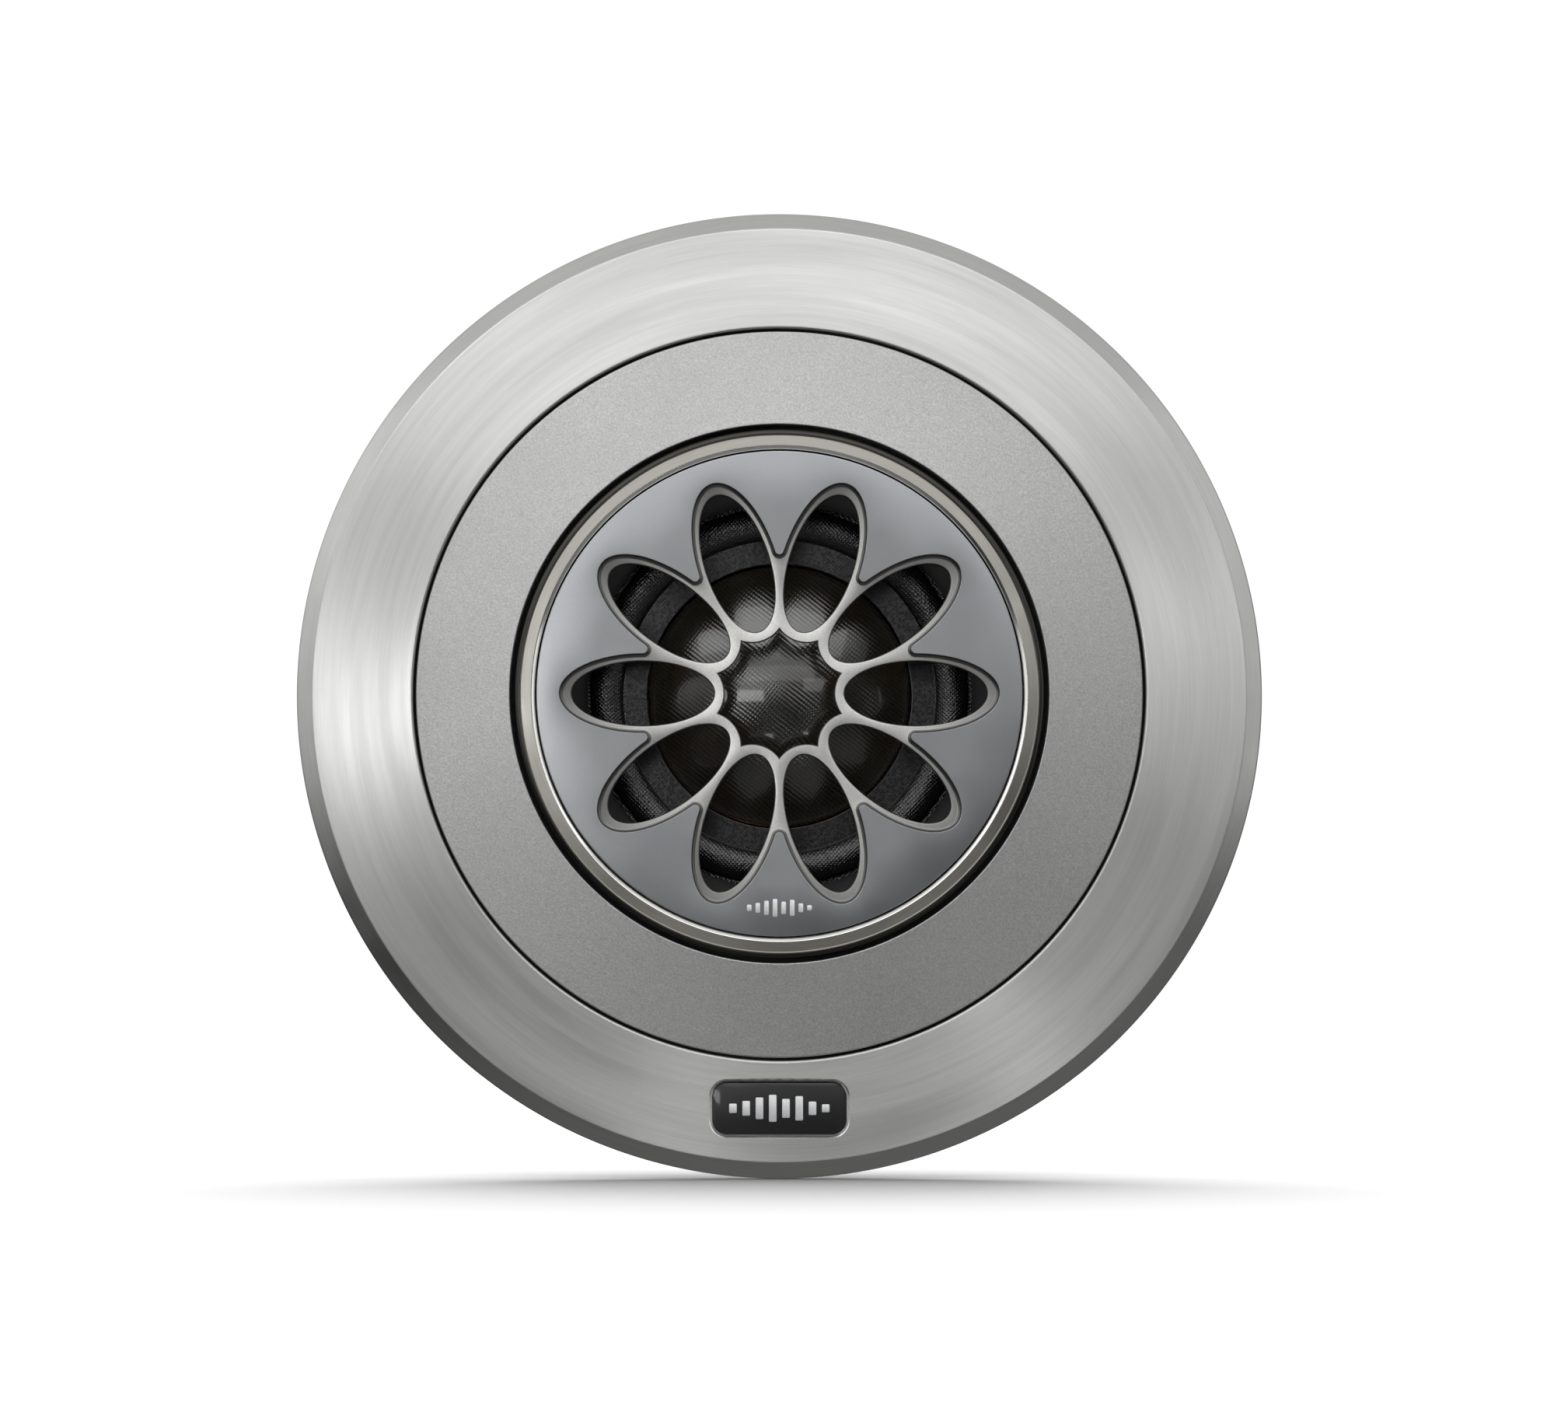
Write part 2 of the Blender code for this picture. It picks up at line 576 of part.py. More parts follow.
def pan_head_screw(name, at, seat, tip):
    """A screw driven in from behind, its raised head standing on the seat."""
    head_front = seat - SEAT_GAP
    head_back = head_front - SCREW_HEAD_HEIGHT
    profile = [
        (0.0, tip),
        (SCREW_SHANK_RADIUS, tip),
        (SCREW_SHANK_RADIUS, head_front),
        (SCREW_HEAD_RADIUS, head_front),
        (SCREW_HEAD_RADIUS, head_back + SCREW_SOCKET_DEPTH),
        (SCREW_HEAD_RADIUS - SCREW_SOCKET_DEPTH, head_back),
        (0.0, head_back),
    ]
    screw = turned(name, profile, ZINC_STEEL, steps=SCREW_STEPS, closed=False, at=at)
    bottom, top = head_back - CUT_OVERRUN, head_back + SCREW_SOCKET_DEPTH
    cut(screw, screw_socket(name + "_socket", at, bottom, top))
    return screw


# ---- Rings in front of the panel ------------------------------------------------------------
def make_trim_ring():
    chamfer_foot = TRIM_INNER_HEIGHT - TRIM_FACE_DROP - TRIM_CHAMFER_DROP
    profile = [
        (TRIM_BORE_RADIUS + TRIM_EDGE_BREAK, trim_face_height(TRIM_BORE_RADIUS + TRIM_EDGE_BREAK)),
        (TRIM_FACE_RADIUS, TRIM_INNER_HEIGHT - TRIM_FACE_DROP),
        (TRIM_OUTER_RADIUS, chamfer_foot),
        (TRIM_OUTER_RADIUS, TRIM_SKIRT_LIFT),
        (TRIM_SKIRT_BORE, TRIM_SKIRT_LIFT),
        (TRIM_SKIRT_BORE, RINGS_BACK),
        (TRIM_BORE_RADIUS, RINGS_BACK),
        (TRIM_BORE_RADIUS, TRIM_INNER_HEIGHT - TRIM_EDGE_BREAK),
    ]
    trim = turned("outer_trim_ring", profile, BRUSHED_ALUMINIUM)
    badge_at = (0.0, -BADGE_RADIUS)
    badge_face = trim_face_height(BADGE_RADIUS) - BADGE_RECESS
    badge_back = badge_face - BADGE_THICKNESS
    pocket = plate(
        "badge_pocket",
        [
            rounded_rectangle(
                BADGE_WIDTH + 2 * BADGE_SEAM,
                BADGE_HEIGHT + 2 * BADGE_SEAM,
                BADGE_CORNER + BADGE_SEAM,
            )
        ],
        badge_back - SEAT_GAP,
        TRIM_INNER_HEIGHT + CUT_OVERRUN,
        at=badge_at,
    )
    cut(trim, as_cutter(pocket))
    plate(
        "badge_plate",
        [rounded_rectangle(BADGE_WIDTH, BADGE_HEIGHT, BADGE_CORNER)],
        badge_back,
        badge_face,
        BLACK_ENAMEL,
        at=badge_at,
    )
    return trim


def make_face_ring():
    outer_height = FACE_RING_INNER_HEIGHT - FACE_RING_DROP
    profile = [
        (FACE_RING_BORE + FACE_RING_EDGE_BREAK, FACE_RING_INNER_HEIGHT),
        (FACE_RING_RADIUS - FACE_RING_EDGE_BREAK, outer_height),
        (FACE_RING_RADIUS, outer_height - FACE_RING_EDGE_BREAK),
        (FACE_RING_RADIUS, RINGS_BACK),
        (FACE_RING_BORE, RINGS_BACK),
        (FACE_RING_BORE, FACE_RING_INNER_HEIGHT - FACE_RING_EDGE_BREAK),
    ]
    return turned("face_ring", profile, BEAD_BLASTED_GREY)


# ---- Mounting cup, its gasket, seal and nut ---------------------------------------------------
def make_mounting_cup():
    profile = [
        (CUP_FLANGE_RADIUS, CUP_FLANGE_FRONT),
        (CUP_FLANGE_RADIUS, CUP_FLANGE_BACK),
        (NECK_RADIUS, CUP_FLANGE_BACK),
        (NECK_RADIUS, -NECK_DEPTH),
        (NECK_BORE_RADIUS, -NECK_DEPTH),
        (NECK_BORE_RADIUS, CUP_FLANGE_BACK),
        (CUP_LEDGE_BORE, CUP_FLANGE_BACK),
        (CUP_LEDGE_BORE, CUP_FLANGE_FRONT),
    ]
    return turned("mounting_cup", profile, BLACK_NYLON)


def make_gasket_and_seal():
    outer = CUP_FLANGE_RADIUS - SEAT_GAP
    gasket = (outer - GASKET_WIDTH, outer, 0.0, GASKET_THICKNESS)
    seal = (CUP_LEDGE_BORE, BEZEL_OUTER_RADIUS, RINGS_BACK, SEAL_FRONT)
    ring("panel_gasket", *gasket, BLACK_RUBBER)
    ring("capsule_seal", *seal, BLACK_RUBBER)


def make_panel_nut():
    points = NUT_LOBES * NUT_POINTS_PER_LOBE
    outline = []
    for index in range(points):
        angle = FULL_TURN * index / points
        radius = NUT_MEAN_RADIUS + NUT_LOBE_HEIGHT * math.cos(NUT_LOBES * angle)
        outline.append((radius * math.cos(angle), radius * math.sin(angle)))
    bore = circle(NECK_RADIUS + SEAT_GAP, RING_STEPS)
    return plate("panel_nut", [outline, bore], NUT_BACK, NUT_FRONT, BLACK_NYLON)


# ---- Screws that hold the rings to the cup --------------------------------------------------
def screw_ring_on(ring_obj, cup, label, radius, start):
    """Four countersunk screws through the cup's flange into the back of a ring."""
    tip = RINGS_BACK + SCREW_BITE
    for index, (at, _) in enumerate(around(radius, SCREWS_PER_RING, start), start=1):
        name = f"{label}_screw_{index}"
        countersunk_screw(name, at, CUP_FLANGE_BACK, tip)
        well = countersink(name + "_hole", at, CUP_FLANGE_BACK, tip)
        cut(cup, well)
        cut(ring_obj, well)


# ---- Capsule front ------------------------------------------------------------------------------
def make_bezel():
    ledge_front = BEZEL_BACK + BEZEL_LEDGE_THICKNESS
    profile = [
        (BEZEL_OUTER_RADIUS - BEZEL_SHOULDER, BEZEL_FRONT),
        (BEZEL_OUTER_RADIUS - BEZEL_SHOULDER / 4, BEZEL_FRONT - BEZEL_SHOULDER_DROP / 3),
        (BEZEL_OUTER_RADIUS, BEZEL_FRONT - BEZEL_SHOULDER_DROP),
        (BEZEL_OUTER_RADIUS, BEZEL_BACK),
        (BEZEL_BORE - BEZEL_LEDGE_WIDTH, BEZEL_BACK),
        (BEZEL_BORE - BEZEL_LEDGE_WIDTH, ledge_front),
        (BEZEL_BORE, ledge_front),
        (BEZEL_BORE, BEZEL_FRONT - BEZEL_INNER_BREAK),
        (BEZEL_BORE + BEZEL_INNER_BREAK, BEZEL_FRONT),
    ]
    return turned("bezel_ring", profile, POLISHED_ALUMINIUM)


def make_grille():
    disc = [circle(GRILLE_RADIUS, RING_STEPS)]
    grille = plate("flower_grille", disc, GRILLE_BACK, GRILLE_FRONT, SATIN_GREY)
    front = GRILLE_FRONT + CUT_OVERRUN
    back = GRILLE_BACK - CUT_OVERRUN
    cut(grille, as_cutter(plate("flower_pocket", [pocket_outline()], GRILLE_FLOOR, front)))
    openings = [
        turned_outline(petal_outline(), petal * PETAL_PITCH) for petal in range(PETALS)
    ]
    openings.append(star_outline())
    cut(grille, as_cutter(plate("flower_openings", openings, back, front)))
    return grille


def make_capsule_body():
    housing = (HOUSING_BORE, HOUSING_RADIUS, HOUSING_BACK, HOUSING_FRONT)
    ring("capsule_housing", *housing, BLACK_ANODISED)
    waveguide = [
        (CORE_RADIUS, HOUSING_FRONT),
        (CORE_RADIUS, WAVEGUIDE_BACK),
        (WAVEGUIDE_THROAT_RADIUS, WAVEGUIDE_BACK),
        (WAVEGUIDE_MOUTH_RADIUS, HOUSING_FRONT),
    ]
    turned("waveguide_ring", waveguide, BLACK_NYLON)
    front = CUP_FLANGE_BACK - SEAT_GAP
    back = front - LOCK_RING_LENGTH
    lock = (HOUSING_RADIUS + SEAT_GAP, NECK_BORE_RADIUS - SEAT_GAP, back, front)
    lock_ring = ring("lock_ring", *lock, BLACK_ANODISED)
    for index, (_, angle) in enumerate(around(1.0, LOCK_RING_SLOTS), start=1):
        slot = plate(
            f"lock_slot_{index}",
            [rounded_rectangle(NECK_BORE_RADIUS / 2, LOCK_SLOT_WIDTH, LOCK_SLOT_WIDTH / 8)],
            back - CUT_OVERRUN,
            back + LOCK_SLOT_DEPTH,
            at=(NECK_BORE_RADIUS * math.cos(angle), NECK_BORE_RADIUS * math.sin(angle)),
            turn=angle,
        )
        cut(lock_ring, as_cutter(slot))


# ---- Diaphragm ----------------------------------------------------------------------------------
def cap_arc(rim_radius, rise, rim_height, points):
    """A spherical cap's profile, from its crown on the axis out to its rim."""
    sphere = (rim_radius**2 + rise**2) / (2 * rise)
    half_angle = math.asin(rim_radius / sphere)
    centre = rim_height + rise - sphere
    return [
        (
            sphere * math.sin(half_angle * i / points),
            centre + sphere * math.cos(half_angle * i / points),
        )
        for i in range(points + 1)
    ]


def roll_arc(bore, outer, rise, height, points):
    """A half-roll's profile between two radii, from the outer foot in to the inner one."""
    middle, half = (bore + outer) / 2, (outer - bore) / 2
    return [
        (
            middle + half * math.cos(math.pi * i / points),
            height + rise * math.sin(math.pi * i / points),
        )
        for i in range(points + 1)
    ]


def make_diaphragm():
    outside = cap_arc(DOME_RADIUS, DOME_RISE, DOME_RIM, DOME_ARC_POINTS)
    inside = cap_arc(DOME_RADIUS, DOME_RISE, DOME_RIM - DOME_THICKNESS, DOME_ARC_POINTS)
    skirt_end = DOME_RIM - DOME_SKIRT_LENGTH
    skirt = [
        (DOME_SKIRT_RADIUS, DOME_RIM - DOME_THICKNESS),
        (DOME_SKIRT_RADIUS, skirt_end),
        (DOME_RADIUS, skirt_end),
    ]
    profile = outside + skirt + inside[::-1]
    turned("dome", profile, COATED_SILK, parent=COIL_AXIS, steps=CORE_STEPS, closed=False)

    roll_front = roll_arc(
        SURROUND_ROLL_INNER, SURROUND_ROLL_OUTER, SURROUND_RISE, SURROUND_FRONT, SURROUND_ARC_POINTS
    )
    roll_back = roll_arc(
        SURROUND_ROLL_INNER + SURROUND_THICKNESS,
        SURROUND_ROLL_OUTER - SURROUND_THICKNESS,
        SURROUND_RISE,
        SURROUND_FOOT,
        SURROUND_ARC_POINTS,
    )
    rim = [(SURROUND_RADIUS, SURROUND_FRONT), (SURROUND_RADIUS, SURROUND_FOOT)]
    collar = [(SURROUND_BORE, SURROUND_FOOT), (SURROUND_BORE, SURROUND_FRONT)]
    profile = rim + roll_back + collar + roll_front[::-1]
    turned("surround", profile, COATED_SILK, steps=CORE_STEPS)

    former = (FORMER_BORE, FORMER_RADIUS, FORMER_END, FORMER_TOP)
    winding = (WINDING_BORE, WINDING_RADIUS, WINDING_BACK, WINDING_BACK + WINDING_LENGTH)
    coil = dict(parent=COIL_AXIS, steps=CORE_STEPS)
    ring("voice_coil_former", *former, ALUMINIUM_FOIL, **coil)
    ring("voice_coil_winding", *winding, COPPER_WIRE, **coil)


def make_diaphragm_ring():
    return ring(
        "diaphragm_ring",
        DIAPHRAGM_RING_BORE,
        CORE_RADIUS,
        DIAPHRAGM_RING_BACK,
        DIAPHRAGM_RING_FRONT,
        BLACK_NYLON,
    )


# ---- Motor ----------------------------------------------------------------------------------------
def make_motor():
    core = dict(steps=CORE_STEPS)
    pole_plate = (VENT_RADIUS, POLE_PLATE_RADIUS, POLE_PLATE_BACK, POLE_PLATE_FRONT)
    magnet = (VENT_RADIUS, POLE_PLATE_RADIUS - MAGNET_STEP, MAGNET_BACK, MAGNET_FRONT)
    felt_bore, felt_radius = VENT_RADIUS + POLE_FELT_MARGIN, POLE_PLATE_RADIUS - POLE_FELT_MARGIN
    felt_back = POLE_PLATE_FRONT + SEAT_GAP
    felt = (felt_bore, felt_radius, felt_back, felt_back + POLE_FELT_THICKNESS)
    ring("pole_plate", *pole_plate, ZINC_STEEL, **core)
    ring("neodymium_magnet", *magnet, NICKELLED_MAGNET, **core)
    ring("pole_felt", *felt, GREY_FELT, **core)
    yoke = [
        (CORE_RADIUS, YOKE_RIM_FRONT),
        (CORE_RADIUS, YOKE_RIM_BACK),
        (YOKE_RADIUS, YOKE_RIM_BACK),
        (YOKE_RADIUS, YOKE_BACK),
        (VENT_RADIUS, YOKE_BACK),
        (VENT_RADIUS, YOKE_FLOOR),
        (YOKE_BORE, YOKE_FLOOR),
        (YOKE_BORE, YOKE_RIM_FRONT),
    ]
    return turned("yoke_cup", yoke, ZINC_STEEL, **core)


# ---- Rear chamber ---------------------------------------------------------------------------------
def make_rear_chamber():
    core = dict(steps=CORE_STEPS)
    profile = [
        (CORE_RADIUS, CAN_FRONT),
        (CORE_RADIUS, CAN_BACK),
        (CAN_LIP_BORE, CAN_BACK),
        (CAN_LIP_BORE, CAN_LIP_FRONT),
        (CAN_BORE, CAN_LIP_FRONT),
        (CAN_BORE, CAN_FRONT),
    ]
    can = turned("rear_can", profile, BLACK_ANODISED, **core)
    felt_outline = [circle(CAN_BORE - SEAT_GAP, CORE_STEPS)]
    felt = plate("rear_felt", felt_outline, REAR_FELT_BACK, REAR_FELT_FRONT, GREY_FELT)
    start = FULL_TURN / (2 * SCREWS_PER_RING)
    screws = list(around(COVER_SCREW_RADIUS, SCREWS_PER_RING, start))
    holes = [circle_at(at, SCREW_SHANK_RADIUS + SEAT_GAP) for at, _ in screws]
    holes += [circle_at(at, RIVET_RADIUS + SEAT_GAP) for at in rivet_places()]
    window = rounded_rectangle(*COVER_WINDOW, COVER_WINDOW[1] / 4)
    outlines = [circle(CORE_RADIUS, CORE_STEPS), window, *holes]
    plate("rear_cover", outlines, COVER_BACK, COVER_FRONT, BLACK_ANODISED)
    tip = CAN_LIP_FRONT - SEAT_GAP * 2
    for index, (at, _) in enumerate(screws, start=1):
        name = f"cover_screw_{index}"
        pan_head_screw(name, at, COVER_BACK, tip)
        well_outline = [circle_at(at, SCREW_SHANK_RADIUS + SEAT_GAP)]
        well = plate(name + "_hole", well_outline, CAN_BACK - CUT_OVERRUN, tip + SEAT_GAP)
        cut(can, as_cutter(well))
    return felt


# ---- Terminals ------------------------------------------------------------------------------------
def blade_outline(width):
    """A spade blade seen flat, with its tip chamfered: x across, y from the tip forward."""
    length = BLADE_REACH + (COVER_FRONT - BOARD_BACK) + BLADE_INNER_REACH
    half = width / 2
    return [
        (-half + BLADE_TIP_TAPER, 0.0),
        (half - BLADE_TIP_TAPER, 0.0),
        (half, BLADE_TIP_TAPER * 2),
        (half, length),
        (-half, length),
        (-half, BLADE_TIP_TAPER * 2),
    ]


def rivet_places():
    return [(side * RIVET_SPREAD, 0.0) for side in (-1, 1)]


def make_terminals():
    openings = [circle_at(at, RIVET_RADIUS + SEAT_GAP) for at in rivet_places()]
    for pole, side in BLADE_SIDES.items():
        width = BLADE_WIDTHS[pole]
        middle = side * BLADE_SPREAD
        half = BLADE_THICKNESS / 2
        blade = plate(f"{pole}_terminal", [blade_outline(width)], -half, half, TIN_PLATE)
        blade.location = (middle, 0.0, BOARD_BACK - BLADE_REACH)
        blade.rotation_euler = (math.pi / 2, 0.0, 0.0)
        slot_x, slot_y = width / 2 + SEAT_GAP, half + SEAT_GAP
        openings.append(
            [
                (middle - slot_x, -slot_y),
                (middle + slot_x, -slot_y),
                (middle + slot_x, slot_y),
                (middle - slot_x, slot_y),
            ]
        )
    board = [rounded_rectangle(*BOARD_SIZE, BOARD_CORNER), *openings]
    plate("terminal_board", board, BOARD_BACK, BOARD_FRONT, FIBRE_BOARD)
    for at, label in zip(rivet_places(), ("left", "right")):
        top = COVER_FRONT - SEAT_GAP
        head = BOARD_BACK - SEAT_GAP
        profile = [
            (0.0, top),
            (RIVET_RADIUS, top),
            (RIVET_RADIUS, head),
            (RIVET_HEAD_RADIUS, head),
            (RIVET_RADIUS, head - RIVET_HEAD_HEIGHT),
            (0.0, head - RIVET_HEAD_HEIGHT),
        ]
        turned(f"{label}_rivet", profile, TIN_PLATE, steps=SCREW_STEPS, closed=False, at=at)


# ---- Lead wires from the terminals to the voice coil -------------------------------------------
def lead_route():
    """(distance from the axis, height) along a lead, from its blade to the coil."""
    clear = LEAD_RADIUS + SEAT_GAP
    blade_end = COVER_FRONT + BLADE_INNER_REACH + clear
    beside_lip = CAN_LIP_BORE - clear
    over_yoke = YOKE_RIM_FRONT + clear
    return [
        (BLADE_SPREAD, blade_end),
        (beside_lip - clear, blade_end),
        (beside_lip, blade_end + clear),
        (beside_lip, CAN_LIP_FRONT + clear),
        (LEAD_RISE_RADIUS, REAR_FELT_FRONT + clear),
        (LEAD_RISE_RADIUS, over_yoke - LEAD_RADIUS),
        (LEAD_RISE_RADIUS - LEAD_RADIUS, over_yoke),
        (WINDING_RADIUS + LEAD_END_GAP, over_yoke),
    ]


def make_leads(felt, yoke, diaphragm_ring):
    passage = 2 * LEAD_PASSAGE
    notch_start = CAN_LIP_BORE - 3 * LEAD_PASSAGE
    for pole, side in BLADE_SIDES.items():
        curve = bpy.data.curves.new(f"{pole}_lead", "CURVE")
        curve.dimensions = "3D"
        curve.bevel_depth = LEAD_RADIUS
        curve.bevel_resolution = 2
        curve.use_fill_caps = True
        spline = curve.splines.new("POLY")
        route = lead_route()
        spline.points.add(len(route) - 1)
        for point, (distance, height) in zip(spline.points, route):
            point.co = (side * distance, 0.0, height, 1.0)
        drawn = place(f"{pole}_route", curve, None, AXIS, TWEETER)
        as_mesh(drawn, f"{pole}_lead", COPPER_WIRE, AXIS)

        felt_notch = radial_notch(f"{pole}_felt_notch", side, notch_start, CAN_BORE, passage)
        cut(felt, felt_notch(REAR_FELT_BACK, REAR_FELT_FRONT))
        rim_hole = plate(
            f"{pole}_rim_hole",
            [circle_at((side * LEAD_RISE_RADIUS, 0.0), LEAD_PASSAGE)],
            YOKE_RIM_BACK - CUT_OVERRUN,
            YOKE_RIM_FRONT + CUT_OVERRUN,
        )
        cut(yoke, as_cutter(rim_hole))
        ring_notch = radial_notch(
            f"{pole}_ring_notch",
            side,
            DIAPHRAGM_RING_BORE - 2 * LEAD_PASSAGE,
            LEAD_RISE_RADIUS + LEAD_PASSAGE,
            passage,
        )
        cut(diaphragm_ring, ring_notch(DIAPHRAGM_RING_BACK, DIAPHRAGM_RING_FRONT))


def radial_notch(name, side, start, end, width):
    """A slot along X between two distances from the axis, cut between the heights it is given."""

    def between(back, front):
        near, far = sorted((side * start, side * end))
        outline = [(near, -width / 2), (far, -width / 2), (far, width / 2), (near, width / 2)]
        slot = plate(name, [outline], back - CUT_OVERRUN, front + CUT_OVERRUN)
        return as_cutter(slot)

    return between


def main():
    trim = make_trim_ring()
    face = make_face_ring()
    cup = make_mounting_cup()
    make_gasket_and_seal()
    screw_ring_on(trim, cup, "trim", TRIM_SCREW_RADIUS, FULL_TURN / 8)
    screw_ring_on(face, cup, "face", FACE_SCREW_RADIUS, 0.0)
    make_panel_nut()
    make_bezel()
    make_grille()
    make_capsule_body()
    make_diaphragm()
    diaphragm_ring = make_diaphragm_ring()
    yoke = make_motor()
    felt = make_rear_chamber()
    make_terminals()
    make_leads(felt, yoke, diaphragm_ring)


main()
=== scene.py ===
"""Finished look of the car tweeter: every piece, its finish, the stage, the lights and the camera.

Lengths are metres. The tweeter faces -Y and its axis is the Y axis, so a height in front of the
panel is -Y and a distance from the axis is measured in the XZ plane.
"""

import json
import math

import bmesh
import bpy
from mathutils import Matrix, Vector


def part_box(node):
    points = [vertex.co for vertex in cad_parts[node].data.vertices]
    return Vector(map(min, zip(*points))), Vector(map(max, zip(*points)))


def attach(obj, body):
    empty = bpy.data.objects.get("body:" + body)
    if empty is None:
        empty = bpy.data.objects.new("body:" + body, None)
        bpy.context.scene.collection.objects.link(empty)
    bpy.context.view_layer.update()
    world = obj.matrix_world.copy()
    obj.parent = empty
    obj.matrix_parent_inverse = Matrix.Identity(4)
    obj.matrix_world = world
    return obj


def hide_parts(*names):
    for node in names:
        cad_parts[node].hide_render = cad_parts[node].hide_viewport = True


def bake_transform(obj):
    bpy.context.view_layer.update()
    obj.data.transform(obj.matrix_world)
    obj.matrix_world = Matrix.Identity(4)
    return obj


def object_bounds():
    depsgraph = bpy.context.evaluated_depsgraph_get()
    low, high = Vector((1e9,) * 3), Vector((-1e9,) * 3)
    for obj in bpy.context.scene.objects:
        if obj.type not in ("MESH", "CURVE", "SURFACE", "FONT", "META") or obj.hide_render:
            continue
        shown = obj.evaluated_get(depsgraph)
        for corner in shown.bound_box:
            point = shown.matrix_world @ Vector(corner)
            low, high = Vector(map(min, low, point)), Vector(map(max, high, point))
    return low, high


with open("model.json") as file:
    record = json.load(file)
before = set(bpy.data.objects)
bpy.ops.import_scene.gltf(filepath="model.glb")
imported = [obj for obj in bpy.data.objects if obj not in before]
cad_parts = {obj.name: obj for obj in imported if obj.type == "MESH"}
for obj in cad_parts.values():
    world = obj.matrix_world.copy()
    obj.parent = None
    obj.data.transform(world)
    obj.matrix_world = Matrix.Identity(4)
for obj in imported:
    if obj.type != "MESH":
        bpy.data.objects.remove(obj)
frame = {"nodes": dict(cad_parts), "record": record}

bl_info = {
    "name": "Car tweeter",
    "version": (1, 0, 0),
    "blender": (4, 5, 0),
    "location": "3D View > Sidebar > Tweeter",
    "description": "Builds the finished pieces of a flush-mount car tweeter on its CAD frame",
    "category": "Object",
}

MM = 0.001
FULL_TURN = 2 * math.pi
FIXED_BODY = "tweeter_body"
COIL_BODY = "moving_coil"
CAD_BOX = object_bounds()
CAD_SLOTS = {part["node"]: part["material_slot"] for part in frame["record"]["subparts"]}

BAR_HEIGHTS = (0.35, 0.55, 0.8, 1.0, 0.7, 0.9, 0.5, 0.3)  # of the plain level bars
BAR_SINK = 0.02 * MM  # how far they reach into the face that they stand on

RING_STEPS = 288
SOFT_STEPS = 192
CUP_STEPS = 120
WELL_STEPS = 32
DOME_STEPS = 40  # from the crown to the rim
ROLL_STEPS = 16  # over half the surround's roll
SMALL_STEPS = 48
ROUND_STEPS = 4
BADGE_CORNER_STEPS = 12
HOLD_DISTANCE = 0.03 * MM  # of the extra loops that keep a flat face flat beside a rounded edge
SHORTEST_FLAT = 0.9 * MM
WELD_DISTANCE = 0.0004 * MM
SHARP_ANGLE = math.radians(32)
BISECTIONS = 50  # to find where the rounding between two petals touches them

SEAT_GAP = 0.3 * MM  # between two pieces that rest on, or fit inside, each other
PAST = 1 * MM  # how far a cutter reaches past what it cuts
SHANK_RADIUS = 1.0 * MM
WELL_GAP = 0.12 * MM  # round a screw in its well
COVER_HOLE_RADIUS = 1.2 * MM
RIVET_HOLE_RADIUS = 1.1 * MM
MATT_SHARE = 0.4  # of the room's light that matt surfaces get, so that the floor's shadow shows
SENSOR_WIDTH = 36.0  # of the camera, in millimetres
CAMERA_AIM = Vector((0.50 * MM, 0.0, -1.28 * MM))


# ---- Sizes read from the frame --------------------------------------------------------------
def distances(node):
    return [math.hypot(v.co.x, v.co.z) for v in frame["nodes"][node].data.vertices]


def bore(node):
    return min(distances(node))


def rim(node):
    return max(distances(node))


def front(node):
    return -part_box(node)[0][1]


def back(node):
    return -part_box(node)[1][1]


def middle(node):
    """Where a small piece's own axis stands, as (x, z)."""
    low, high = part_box(node)
    return (low[0] + high[0]) / 2, (low[2] + high[2]) / 2


# ---- Settings -------------------------------------------------------------------------------
def length(name, default, description):
    return bpy.props.FloatProperty(
        name=name, description=description, default=default, min=0.0, precision=5,
        subtype="DISTANCE", unit="LENGTH",
    )


def colour(name, default, description):
    return bpy.props.FloatVectorProperty(
        name=name, description=description, default=default, size=3, min=0.0, max=1.0,
        subtype="COLOR",
    )


def share(name, default, description):
    return bpy.props.FloatProperty(
        name=name, description=description, default=default, min=0.0, max=1.0, subtype="FACTOR"
    )


class TrimRingSettings(bpy.types.PropertyGroup):
    """The wide brushed ring and the badge let into it."""

    inner_height: length("Inner height", 5.5 * MM, "Height of the face beside the bore")
    face_drop: length("Face drop", 1.6 * MM, "How far the face falls from its bore to its edge")
    bevel_width: length("Bevel width", 1.8 * MM, "Width of the grey bevel round the rim")
    bevel_drop: length("Bevel drop", 1.6 * MM, "Depth of the grey bevel round the rim")
    skirt_wall: length("Skirt wall", 1.0 * MM, "Wall of the skirt that hides the cup's flange")
    metal: colour("Metal", (0.86, 0.86, 0.845), "Colour of the brushed aluminium")
    roughness: share("Brushing", 0.38, "How far the brushing spreads a highlight")
    badge_width: length("Badge width", 14.4 * MM, "Width of the badge plate")
    badge_height: length("Badge height", 5.6 * MM, "Height of the badge plate")
    badge_corner: length("Badge corner", 1.6 * MM, "Radius of the badge plate's corners")
    badge_seam: length("Badge seam", 0.2 * MM, "Gap round the badge plate")
    pocket_edge: length("Pocket edge", 0.22 * MM, "Bright bevel round the badge's pocket")
    enamel: colour("Enamel", (0.006, 0.006, 0.007), "Colour of the badge's enamel")
    bars: colour("Bars", (0.84, 0.85, 0.86), "Colour of the badge's level bars")


class FaceRingSettings(bpy.types.PropertyGroup):
    """The blasted ring between the trim ring and the capsule."""

    inner_height: length("Inner height", 6.5 * MM, "Height of the face beside the bore")
    face_drop: length("Face drop", 1.3 * MM, "How far the face falls from its bore to its edge")
    edge: length("Edge", 0.15 * MM, "Rounding of both edges")
    metal: colour("Metal", (0.56, 0.56, 0.555), "Colour of the blasted metal")
    roughness: share("Blasting", 0.5, "Roughness of the blasted metal")


